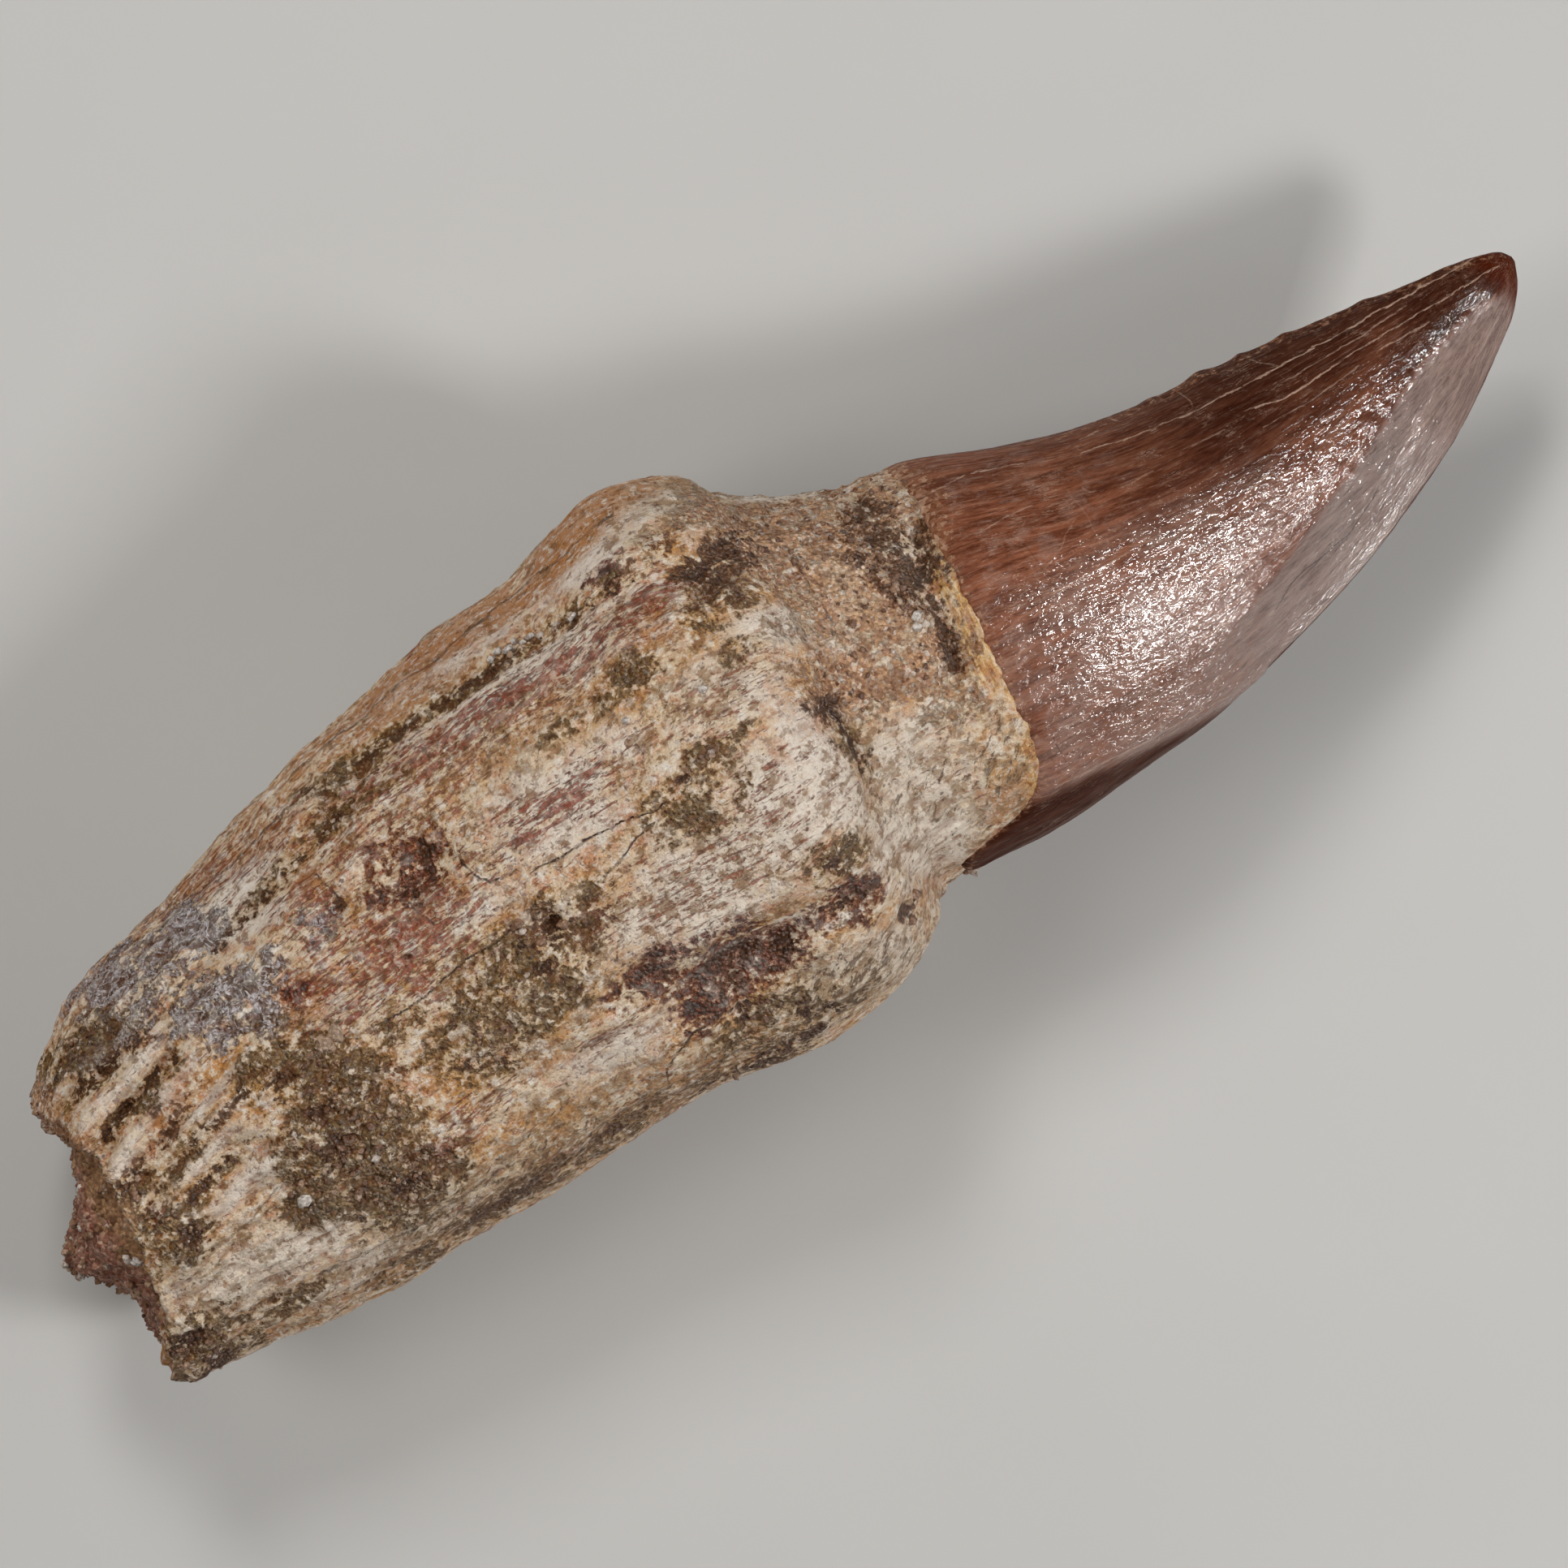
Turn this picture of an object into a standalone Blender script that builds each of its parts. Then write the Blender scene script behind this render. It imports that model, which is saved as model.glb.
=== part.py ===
"""A fossil mosasaur tooth: enamelled crown, neck and swollen bony root, grown as one piece.

The tooth lies on its side with its long axis along +X, the crown tip at +X and the
broken root end at -X.  +Z is up.  The numbers are millimetres until the mesh is built.
Every ring of the body goes round the long axis by an angle called turn: 0 degrees is the
+Y edge, 90 the upper face, 180 the -Y edge and 270 the underside.
"""
import math

import bpy
import numpy as np

MM = 0.001

# Driving dimensions (mm)
RINGS_ALONG = 78
POINTS_ROUND = 60
TIP_X = 47.3
TIP_Y = 0.65
TIP_Z = 10.2
REST_Z = 0.0

# Edges of the tooth seen from above: (x, y)
LOW_EDGE = (
    (-46.0, -12.7), (-44.0, -13.1), (-41.0, -13.3), (-36.0, -14.0), (-30.0, -14.45),
    (-22.0, -14.37), (-16.0, -14.26), (-12.0, -14.55), (-8.0, -15.3), (-6.0, -15.61),
    (-4.0, -15.5), (-2.0, -14.96), (0.0, -14.06), (2.0, -12.98), (3.9, -11.7),
    (6.0, -11.8), (11.0, -12.19), (16.0, -11.95), (20.0, -11.74), (24.0, -11.03),
    (28.0, -10.14), (32.0, -9.0), (36.0, -7.44), (40.0, -5.64), (44.0, -3.05),
    (46.0, -1.54), (46.8, -0.55), (47.3, 0.55),
)
HIGH_EDGE = (
    (-46.0, 4.0), (-44.2, 4.9), (-42.0, 6.58), (-40.0, 7.74), (-38.0, 8.47),
    (-34.0, 9.46), (-30.0, 10.62), (-26.0, 11.72), (-22.0, 12.77), (-18.0, 13.44),
    (-12.0, 14.26), (-8.0, 14.53), (-4.0, 15.51), (-2.0, 15.59), (0.0, 15.04),
    (2.0, 14.11), (4.0, 12.71), (6.0, 11.25), (8.0, 10.16), (10.0, 9.34), (12.0, 9.14),
    (14.0, 8.52), (18.0, 6.79), (22.0, 5.41), (26.0, 4.61), (32.0, 3.99), (38.0, 3.05),
    (42.0, 2.18), (46.0, 1.59), (46.9, 1.25), (47.3, 0.75),
)
# Height of the upper face, of the underside and of the two edges: (x, z)
CREST_Z = (
    (-46.0, 17.0), (-42.0, 18.3), (-36.0, 19.8), (-28.0, 21.4), (-18.0, 23.2),
    (-8.0, 24.6), (-2.0, 24.9), (1.0, 24.0), (4.0, 21.6), (7.0, 20.6), (12.0, 20.2),
    (16.0, 19.9), (22.0, 18.7), (30.0, 16.4), (38.0, 13.9), (44.0, 11.8), (46.6, 10.9),
    (47.3, 10.25),
)
KEEL_Z = (
    (-46.0, 1.6), (-42.0, 0.4), (-36.0, -0.9), (-28.0, -1.2), (-8.0, -1.1), (-2.0, -0.5),
    (1.0, 0.7), (4.0, 2.6), (8.0, 3.3), (13.0, 2.9), (20.0, 3.3), (28.0, 4.6),
    (36.0, 6.4), (44.0, 8.6), (46.6, 9.5), (47.3, 10.15),
)
LOW_EDGE_Z = (
    (-46.0, 8.5), (-30.0, 9.5), (-6.0, 10.5), (4.0, 10.5), (12.0, 9.6), (22.0, 9.4),
    (36.0, 9.7), (47.3, 10.2),
)
HIGH_EDGE_Z = (
    (-46.0, 9.0), (-30.0, 10.0), (-4.0, 11.0), (8.0, 10.5), (14.0, 10.6), (26.0, 10.8),
    (36.0, 10.6), (47.3, 10.2),
)
# Where across the tooth the upper face is highest: (x, y)
CREST_Y = (
    (-46.0, -3.5), (-38.0, -2.0), (-28.0, -1.2), (-10.0, -0.6), (2.0, -0.8), (13.0, -1.4),
    (20.0, -2.6), (28.0, -3.3), (36.0, -2.5), (44.0, -0.5), (47.3, 0.65),
)
# How squarely the sides stand: 0.5 is a round side, larger values give a keen edge: (x, m)
SIDE_KEENNESS = (
    (-46.0, 0.5), (-38.0, 0.46), (0.0, 0.46), (5.0, 0.5), (13.0, 0.52), (24.0, 0.6),
    (32.0, 0.7), (44.0, 0.72), (47.3, 0.6),
)
# Crest line of the crown, below which the face is a flat strip down to the edge: (x, y)
STRIP_LINE = (
    (18.0, -9.6), (24.0, -8.0), (28.0, -6.5), (32.0, -5.0), (36.0, -3.4), (40.0, -1.5),
    (44.0, -0.7), (47.3, 0.5),
)
# Broken rim of the root: (turn in degrees, x)
BROKEN_RIM = (
    (0.0, -43.9), (22.0, -44.3), (40.0, -43.5), (60.0, -42.7), (75.0, -42.2),
    (92.0, -42.3), (110.0, -42.9), (130.0, -43.9), (150.0, -45.1), (165.0, -45.6),
    (182.0, -44.3), (212.0, -43.3), (250.0, -42.7), (290.0, -43.1), (330.0, -43.4),
    (360.0, -43.9),
)

# Lines on the upper face: (x, y)
LONG_GROOVE = (
    (1.0, 9.5), (-4.0, 10.5), (-9.0, 10.9), (-14.0, 10.9), (-19.5, 10.5), (-22.0, 8.3),
    (-28.0, 7.0), (-31.0, 6.0),
)
EDGE_GROOVE = ((-1.0, 13.2), (-6.0, 13.5), (-12.0, 13.2), (-18.0, 12.6))
SHOULDER_LINE = (
    (3.2, 14.5), (4.6, 10.0), (4.4, 6.0), (3.9, 2.5), (2.9, 0.0), (3.0, -2.5), (1.8, -5.5),
    (1.2, -9.0), (2.4, -12.0), (2.8, -15.0),
)
CREVICE = ((12.0, 5.4), (11.1, 3.0), (11.0, 1.0), (10.4, -1.2), (9.7, -2.4))
ENAMEL_EDGE = (
    (12.6, 9.6), (13.2, 5.8), (13.2, 3.0), (12.7, -0.5), (12.3, -3.6), (11.8, -7.4),
    (11.2, -9.3), (8.6, -10.7), (5.2, -11.6),
)
LOW_CARINA = ((24.0, -10.9), (20.0, -10.7), (16.5, -10.4), (12.3, -10.0), (10.6, -9.9))
RIBS = (
    ((-42.0, 1.2), (-40.0, 2.4), (-36.0, 2.8)),
    ((-42.4, -1.0), (-40.0, 0.0), (-37.3, 1.0)),
    ((-42.8, -2.4), (-41.0, -1.2), (-38.0, -0.4), (-32.5, 0.2)),
    ((-41.0, -4.9), (-38.0, -3.2), (-33.5, -2.8)),
    ((-40.5, -6.6), (-37.0, -5.6), (-33.0, -4.6)),
)
# Hollows and crusts on the upper face: (x, y, half length, half width, height)
HOLLOWS = (
    (-19.8, 4.4, 2.6, 2.0, -0.85), (-15.3, -2.0, 1.2, 1.0, -1.0), (-8.4, -9.6, 4.6, 2.0, -0.8),
    (-3.0, -9.3, 3.0, 1.1, -0.45), (-12.6, -7.6, 2.2, 1.5, -0.35), (3.3, -11.4, 1.8, 1.5, -0.9),
    (-24.0, 4.7, 0.9, 0.8, -0.35), (1.6, 8.9, 1.5, 1.1, -0.4), (-6.5, -12.2, 4.5, 0.8, -0.35),
)
CRUSTS = (
    (-30.6, -4.6, 4.0, 5.2, 0.5), (-42.8, -11.6, 2.2, 1.6, 0.55), (-41.3, -5.0, 2.3, 2.0, 0.4),
    (-19.4, -5.0, 4.4, 2.6, 0.35), (-5.3, -0.2, 2.7, 1.9, 0.35), (-35.5, 6.8, 4.6, 2.2, 0.35),
    (-31.0, 3.2, 3.2, 1.6, 0.25), (7.0, 5.0, 4.2, 4.6, 0.45), (-28.0, -1.3, 0.8, 0.7, 0.35),
    (-2.0, -13.2, 3.0, 1.6, 0.4),
)
COLOUR = (0.50, 0.37, 0.26, 1.0)


def smooth_curve(points, where):
    """Read a smooth curve without overshoot through the named points."""
    xs = np.array([p[0] for p in points], float)
    ys = np.array([p[1] for p in points], float)
    rise = np.diff(ys) / np.diff(xs)
    slope = np.concatenate(([rise[0]], np.zeros(len(xs) - 2), [rise[-1]]))
    left = rise[:-1]
    right = rise[1:]
    same = left * right > 0
    total = np.where(same, left + right, 1.0)
    slope[1:-1] = np.where(same, 2 * left * right / total, 0.0)
    where = np.clip(where, xs[0], xs[-1])
    i = np.clip(np.searchsorted(xs, where) - 1, 0, len(xs) - 2)
    width = xs[i + 1] - xs[i]
    t = (where - xs[i]) / width
    a = (1 + 2 * t) * (1 - t) ** 2 * ys[i] + t * t * (3 - 2 * t) * ys[i + 1]
    return a + t * (1 - t) * width * ((1 - t) * slope[i] - t * slope[i + 1])


def soft_step(low, high, value):
    """Go smoothly from 0 at low to 1 at high."""
    t = np.clip((value - low) / (high - low), 0.0, 1.0)
    return t * t * (3 - 2 * t)


def distance_to_line(x, y, points):
    """Distance in plan from each place to a line of points."""
    best = np.full(np.shape(x), 1e9)
    for (ax, ay), (bx, by) in zip(points[:-1], points[1:]):
        dx = bx - ax
        dy = by - ay
        t = np.clip(((x - ax) * dx + (y - ay) * dy) / (dx * dx + dy * dy), 0.0, 1.0)
        best = np.minimum(best, np.hypot(x - ax - t * dx, y - ay - t * dy))
    return best


def line_x(points, y):
    """The x of a line running across the tooth at each y."""
    ordered = sorted((py, px) for px, py in points)
    return smooth_curve(ordered, y)


def half_section(u, height, roundness, keenness):
    """Height of one quarter of a ring at the share u of the way out to its edge."""
    inside = np.clip(1 - np.abs(u) ** roundness, 0.0, 1.0)
    return height * inside ** keenness


def body(x, turn):
    """Plan position and height of the plain body at x, before its relief."""
    low = smooth_curve(LOW_EDGE, x)
    high = smooth_curve(HIGH_EDGE, x)
    crest_y = smooth_curve(CREST_Y, x)
    crest_z = smooth_curve(CREST_Z, x)
    keel_z = smooth_curve(KEEL_Z, x)
    low_z = smooth_curve(LOW_EDGE_Z, x)
    high_z = smooth_curve(HIGH_EDGE_Z, x)
    keen = smooth_curve(SIDE_KEENNESS, x)
    across = np.cos(turn)
    y = np.where(across > 0, crest_y + (high - crest_y) * across,
                 crest_y + (crest_y - low) * across)
    side_z = np.where(across > 0, high_z, low_z)
    upper = np.sin(turn) >= 0
    top = side_z + half_section(across, crest_z - side_z, 2.15, keen)
    under = side_z - half_section(across, side_z - keel_z, 2.2, keen)
    z = np.where(upper, top, under)
    return y, strip_height(x, y, z, upper, low, low_z, crest_y, crest_z, keen)


def strip_height(x, y, z, upper, low, low_z, crest_y, crest_z, keen):
    """Flatten the crown between its crest line and its lower edge."""
    line_y = smooth_curve(STRIP_LINE, x)
    u = np.clip((crest_y - line_y) / (crest_y - low), 0.0, 1.0)
    line_z = low_z + half_section(u, crest_z - low_z, 2.15, keen)
    share = np.clip((y - low) / np.maximum(line_y - low, 1e-6), 0.0, 1.0)
    flat = low_z + (line_z - low_z) * share
    weight = soft_step(19.0, 28.0, x) * soft_step(47.2, 45.5, x)
    return np.where(upper & (y < line_y), z + (np.minimum(flat, z) - z) * weight, z)


def groove(x, y, points, width):
    """One on a line, falling to nought about its width away."""
    return np.exp(-(distance_to_line(x, y, points) / width) ** 2)


def patch(x, y, spot):
    """One in a rounded patch, falling to nought at its border."""
    cx, cy, half_x, half_y, _ = spot
    reach = ((x - cx) / half_x) ** 2 + ((y - cy) / half_y) ** 2
    return np.exp(-reach ** 1.6)


def swelling(x, turn):
    """Gentle uneven growth of the root all the way round."""
    wave = 0.22 * np.sin(0.23 * x + 2 * turn + 0.6) * np.sin(3 * turn + 0.11 * x)
    wave += 0.14 * np.sin(0.47 * x - 3 * turn + 1.9) + 0.1 * np.sin(0.83 * x + 5 * turn)
    return wave * soft_step(7.0, -2.0, x)


def underside_relief(x, turn):
    """Long shallow flutes and a resorbed hollow on the hidden sides of the root."""
    away = soft_step(0.15, -0.35, np.sin(turn))
    on_root = soft_step(4.0, -3.0, x)
    flute = -0.45 * np.exp(-((np.degrees(turn) - 305 + 0.35 * x) / 7.0) ** 2)
    flute -= 0.4 * np.exp(-((np.degrees(turn) - 222 - 0.3 * x) / 7.0) ** 2)
    hollow = -0.9 * np.exp(-((x + 9.0) / 5.0) ** 2 - ((np.degrees(turn) - 212) / 12.0) ** 2)
    return away * on_root * (flute + hollow)


def relief(x, y, turn):
    """Height of the relief over the plain body, along its outward direction."""
    face = soft_step(0.02, 0.22, np.sin(turn))
    rise = -0.85 * groove(x, y, LONG_GROOVE, 0.75) - 0.35 * groove(x, y, EDGE_GROOVE, 0.8)
    rise += -1.0 * groove(x, y, CREVICE, 0.8) + 0.22 * groove(x, y, LOW_CARINA, 0.6)
    for rib in RIBS:
        rise += 0.35 * groove(x, y, rib, 0.55)
    for spot in HOLLOWS + CRUSTS:
        rise += spot[4] * patch(x, y, spot)
    step = soft_step(1.2, -1.2, x - line_x(SHOULDER_LINE, y))
    rise += 0.9 * step * soft_step(-9.0, 1.0, x) * soft_step(3.6, 1.0, x - 1.6)
    under_edge = 12.6 - 4.6 * soft_step(0.2, -0.6, np.sin(turn))
    edge = np.where(face > 0, line_x(ENAMEL_EDGE, y) * face + under_edge * (1 - face), under_edge)
    enamel = 0.28 * soft_step(-0.5, 0.3, x - edge) * soft_step(30.0, 16.0, x)
    return rise * face + enamel + swelling(x, turn) + underside_relief(x, turn)


def ring_positions():
    """Even x places along the tooth, closer together at the neck and the tip."""
    root = np.linspace(-43.6, 1.0, 38)
    neck = np.linspace(1.0, 15.0, 18)[1:]
    crown = np.linspace(15.0, 44.0, 19)[1:]
    tip = np.array((45.2, 46.1, 46.7, 47.05, 47.22))
    return np.concatenate((root, neck, crown, tip))[:RINGS_ALONG]


def outward(grid):
    """Unit outward direction at each point of the rings."""
    along = np.gradient(grid, axis=0)
    turned = np.roll(grid, -1, axis=1) - np.roll(grid, 1, axis=1)
    normal = np.cross(turned, along)
    return normal / np.maximum(np.linalg.norm(normal, axis=2, keepdims=True), 1e-9)


def body_rings():
    """Rings of the whole tooth from the broken rim to the tip, relief included."""
    turn = np.linspace(0.0, 2 * math.pi, POINTS_ROUND, endpoint=False)[None, :]
    start = ring_positions()[:, None]
    rim = smooth_curve(BROKEN_RIM, np.degrees(turn)) + 43.6
    x = start + rim * soft_step(-33.0, -43.6, start)
    turn = np.broadcast_to(turn, x.shape)
    y, z = body(x, turn)
    grid = np.stack((x, y, z), axis=2)
    rise = relief(x, y, turn) * soft_step(47.3, 45.5, x)
    grid = grid + outward(grid) * rise[:, :, None]
    grid[:, :, 2] = np.maximum(grid[:, :, 2], REST_Z)
    return grid


def plug_x(y, z):
    """Face of the sandy plug that fills the broken end of the root."""
    plug = -43.9 - 3.3 * np.exp(-((y + 4.0) / 2.6) ** 2 - ((z - 10.5) / 4.2) ** 2)
    plug -= 1.7 * np.exp(-((y + 9.6) / 2.4) ** 2 - ((z - 8.0) / 4.5) ** 2)
    plug += 0.7 * np.exp(-((y - 1.5) / 2.0) ** 2 - ((z - 12.0) / 5.0) ** 2)
    return plug + 0.25 * np.sin(2.1 * y + 0.7) * np.sin(1.7 * z)


def cap_rings(rim):
    """Rings closing the broken end: bone wall, sunken joint and raised plug."""
    centre = np.array((0.0, -4.0, 9.6))
    rings = []
    for share, wall in ((0.88, 0.9), (0.76, 0.45), (0.62, 0.0), (0.42, 0.0), (0.2, 0.0)):
        ring = centre + share * (rim - centre)
        inner = plug_x(ring[:, 1], ring[:, 2])
        ring[:, 0] = wall * (rim[:, 0] + 0.35 * (1 - wall)) + (1 - wall) * inner
        rings.append(ring)
    middle = np.array((plug_x(centre[1], centre[2]), centre[1], centre[2]))
    return rings, middle


def tooth_mesh():
    """Points and faces of the closed tooth, in millimetres."""
    grid = body_rings()
    cap, middle = cap_rings(grid[0])
    rings = cap[::-1] + [grid[i] for i in range(grid.shape[0])]
    n = POINTS_ROUND
    points = np.concatenate(rings + [middle[None, :], np.array([[TIP_X, TIP_Y, TIP_Z]])])
    faces = []
    for i in range(len(rings) - 1):
        for j in range(n):
            k = (j + 1) % n
            faces.append((i * n + j, i * n + k, (i + 1) * n + k, (i + 1) * n + j))
    middle_at = len(rings) * n
    last = (len(rings) - 1) * n
    for j in range(n):
        k = (j + 1) % n
        faces.append((middle_at, k, j))
        faces.append((middle_at + 1, last + j, last + k))
    return points, faces


def centred(points):
    """Put the middle of the tooth's length and width over the origin, its rest at z 0."""
    low = points.min(axis=0)
    high = points.max(axis=0)
    shift = np.array(((low[0] + high[0]) / 2, (low[1] + high[1]) / 2, low[2]))
    return points - shift


def stone_material(name, colour):
    """Plain mineralised bone."""
    material = bpy.data.materials.new(name)
    material.use_nodes = True
    shader = material.node_tree.nodes["Principled BSDF"]
    shader.inputs["Base Color"].default_value = colour
    shader.inputs["Roughness"].default_value = 0.6
    return material


def make_tooth():
    """Build the tooth as one closed mesh object."""
    points, faces = tooth_mesh()
    mesh = bpy.data.meshes.new("tooth")
    mesh.from_pydata((centred(points) * MM).tolist(), [], faces)
    mesh.validate()
    mesh.polygons.foreach_set("use_smooth", [True] * len(mesh.polygons))
    mesh.materials.append(stone_material("bone", COLOUR))
    tooth = bpy.data.objects.new("tooth", mesh)
    bpy.context.scene.collection.objects.link(tooth)
    return tooth


def main():
    """Clear the scene and build the tooth."""
    for thing in list(bpy.data.objects):
        bpy.data.objects.remove(thing, do_unlink=True)
    make_tooth()


main()
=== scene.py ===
"""Looks of a fossil mosasaur tooth that lies on its side.

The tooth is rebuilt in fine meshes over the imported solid: the striated enamel crown, the
fibrous bony root with its crusts, the sand that plugs the broken end, and loose grains.
Sizes are millimetres in the tooth's own frame: +X to the crown tip, +Z up.
"""
import logging
import math
from dataclasses import dataclass, field
from enum import Enum
from itertools import product

import bmesh
import bpy
import numpy as np
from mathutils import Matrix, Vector


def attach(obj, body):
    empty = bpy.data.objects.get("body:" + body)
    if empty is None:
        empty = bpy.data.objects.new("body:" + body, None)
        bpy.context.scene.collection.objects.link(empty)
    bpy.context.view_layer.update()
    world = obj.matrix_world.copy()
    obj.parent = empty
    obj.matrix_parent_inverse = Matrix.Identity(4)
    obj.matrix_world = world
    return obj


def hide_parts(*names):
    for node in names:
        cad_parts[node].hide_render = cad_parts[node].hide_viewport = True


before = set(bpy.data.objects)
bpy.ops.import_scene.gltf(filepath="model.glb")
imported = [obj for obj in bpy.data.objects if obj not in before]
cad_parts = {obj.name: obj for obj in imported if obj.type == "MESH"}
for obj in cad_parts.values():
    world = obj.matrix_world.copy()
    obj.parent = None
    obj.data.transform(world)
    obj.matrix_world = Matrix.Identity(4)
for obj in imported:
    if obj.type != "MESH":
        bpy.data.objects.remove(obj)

LOG = logging.getLogger("tooth")
MM = 0.001
Line = tuple[tuple[float, float], ...]
Array = np.ndarray
Socket = bpy.types.NodeSocket
Triple = tuple[float, float, float]
Colour = Triple
Ramp = tuple[tuple[float, Colour], ...]

# The solid is centred over its origin: what is taken from the drawn places (mm)
ORIGIN = np.array((0.06, 0.24, 0.0))
# Middle of the broken end, across the tooth (mm)
BROKEN_MIDDLE = np.array((0.0, -4.0, 9.6))
# Share of the points of each ring that lie on the upper face
UPPER_SHARE = 0.66


class Slot(Enum):
    """Material slots."""

    BONE = "bone"
    ENAMEL = "enamel"
    MATRIX = "matrix"


def smooth_curve(points: Line, where: Array) -> Array:
    """Read a smooth curve without overshoot through the named points.

    Args:
        points: Places of the curve in rising order.
        where: Where to read it.

    Returns:
        The curve's value at each place.
    """
    xs = np.array([p[0] for p in points], float)
    ys = np.array([p[1] for p in points], float)
    rise = np.diff(ys) / np.diff(xs)
    slope = np.concatenate(([rise[0]], np.zeros(len(xs) - 2), [rise[-1]]))
    same = rise[:-1] * rise[1:] > 0
    total = np.where(same, rise[:-1] + rise[1:], 1.0)
    slope[1:-1] = np.where(same, 2 * rise[:-1] * rise[1:] / total, 0.0)
    where = np.clip(where, xs[0], xs[-1])
    i = np.clip(np.searchsorted(xs, where) - 1, 0, len(xs) - 2)
    width = xs[i + 1] - xs[i]
    t = (where - xs[i]) / width
    ends = (1 + 2 * t) * (1 - t) ** 2 * ys[i] + t * t * (3 - 2 * t) * ys[i + 1]
    return ends + t * (1 - t) * width * ((1 - t) * slope[i] - t * slope[i + 1])


def soft_step(low: float, high: float, value: Array) -> Array:
    """Go smoothly from 0 at low to 1 at high.

    Args:
        low: Value that gives 0.
        high: Value that gives 1.
        value: Values to judge.

    Returns:
        Share from 0 to 1.
    """
    t = np.clip((value - low) / (high - low), 0.0, 1.0)
    return t * t * (3 - 2 * t)


def line_distance(x: Array, y: Array, points: Line) -> Array:
    """Find the distance in plan from each place to a line of points.

    Args:
        x: Places along the tooth.
        y: Places across the tooth.
        points: Corners of the line.

    Returns:
        Distances in mm.
    """
    best = np.full(np.shape(x), 1e9)
    for (ax, ay), (bx, by) in zip(points[:-1], points[1:]):
        dx, dy = bx - ax, by - ay
        t = np.clip(((x - ax) * dx + (y - ay) * dy) / (dx * dx + dy * dy), 0.0, 1.0)
        best = np.minimum(best, np.hypot(x - ax - t * dx, y - ay - t * dy))
    return best


def on_line(x: Array, y: Array, points: Line, width: float) -> Array:
    """Give one on a line and nought about its width away."""
    return np.exp(-(line_distance(x, y, points) / width) ** 2)


def seam(x: Array, y: Array, points: Line) -> tuple[Array, Array]:
    """Measure places from a seam: distance to its left or right, and nearness to its ends.

    Args:
        x: Places along the tooth.
        y: Places across the tooth.
        points: Corners of the seam.

    Returns:
        Distance in mm, above nought on the left, and a share that fades to 0 at both ends.
    """
    best, side, along = np.full(np.shape(x), 1e9), np.ones(np.shape(x)), np.zeros(np.shape(x))
    run = 0.0
    for (ax, ay), (bx, by) in zip(points[:-1], points[1:]):
        dx, dy = bx - ax, by - ay
        length = math.hypot(dx, dy)
        t = np.clip(((x - ax) * dx + (y - ay) * dy) / length ** 2, 0.0, 1.0)
        away = np.hypot(x - ax - t * dx, y - ay - t * dy)
        nearer = away < best
        best = np.where(nearer, away, best)
        side = np.where(nearer, np.sign(dx * (y - ay) - dy * (x - ax)), side)
        along = np.where(nearer, run + t * length, along)
        run += length
    fade = soft_step(0.0, 0.25, along) * soft_step(0.0, 0.25, run - along)
    return best * side, fade


def seams(x: Array, y: Array, group: tuple[tuple[Line, float], ...]) -> tuple[Array, Array]:
    """Lay a group of thin seams, each place taking the one nearest to it.

    Args:
        x: Places along the tooth.
        y: Places across the tooth.
        group: Corners and strength of each seam.

    Returns:
        Signed distance in mm and strength at each place.
    """
    off, share = np.full(np.shape(x), 0.6), np.zeros(np.shape(x))
    for points, amount in group:
        away, fade = seam(x, y, points)
        nearer = (np.abs(away) < np.abs(off)) & (fade > 0.0)
        off = np.where(nearer, away, off)
        share = np.where(nearer, amount * fade * soft_step(0.55, 0.3, np.abs(away)), share)
    return off, share


def blurred(values: Array, reach: int) -> Array:
    """Average a field of rings over its neighbours.

    Args:
        values: One value for each ring and place round it.
        reach: How many neighbours on each side.

    Returns:
        The averaged field.
    """
    for _ in range(2):
        ends = np.pad(values, ((reach, reach), (0, 0)), mode="edge")
        whole = np.cumsum(np.concatenate((np.zeros((1, values.shape[1])), ends)), axis=0)
        values = (whole[2 * reach + 1:] - whole[:-2 * reach - 1]) / (2 * reach + 1)
        round_ = np.concatenate((values[:, -reach:], values, values[:, :reach]), axis=1)
        whole = np.cumsum(np.concatenate((np.zeros((values.shape[0], 1)), round_), axis=1), axis=1)
        values = (whole[:, 2 * reach + 1:] - whole[:, :-2 * reach - 1]) / (2 * reach + 1)
    return values


@dataclass(frozen=True)
class Patch:
    """A rounded patch of the upper face.

    Attributes:
        x: Middle along the tooth.
        y: Middle across the tooth.
        half_x: Half its length.
        half_y: Half its width.
        amount: Strength, or height in mm.
        tilt: Turn of its length from the tooth's axis, in degrees.
    """

    x: float
    y: float
    half_x: float
    half_y: float
    amount: float = 1.0
    tilt: float = 0.0

    def reach(self, x: Array, y: Array) -> Array:
        """Measure how far out each place is: 0 in the middle, 1 on the border.

        Args:
            x: Places along the tooth.
            y: Places across the tooth.

        Returns:
            Share of the way from the middle to the border.
        """
        c, s = math.cos(math.radians(self.tilt)), math.sin(math.radians(self.tilt))
        dx, dy = x - self.x, y - self.y
        return np.hypot((dx * c + dy * s) / self.half_x, (dy * c - dx * s) / self.half_y)

    def mound(self, x: Array, y: Array) -> Array:
        """Give the patch as a smooth mound of its own height."""
        return self.amount * np.exp(-self.reach(x, y) ** 3.2)


def patches(*rows: tuple[float, ...]) -> tuple[Patch, ...]:
    """Make patches from rows of their values."""
    return tuple(Patch(*row) for row in rows)


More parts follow.
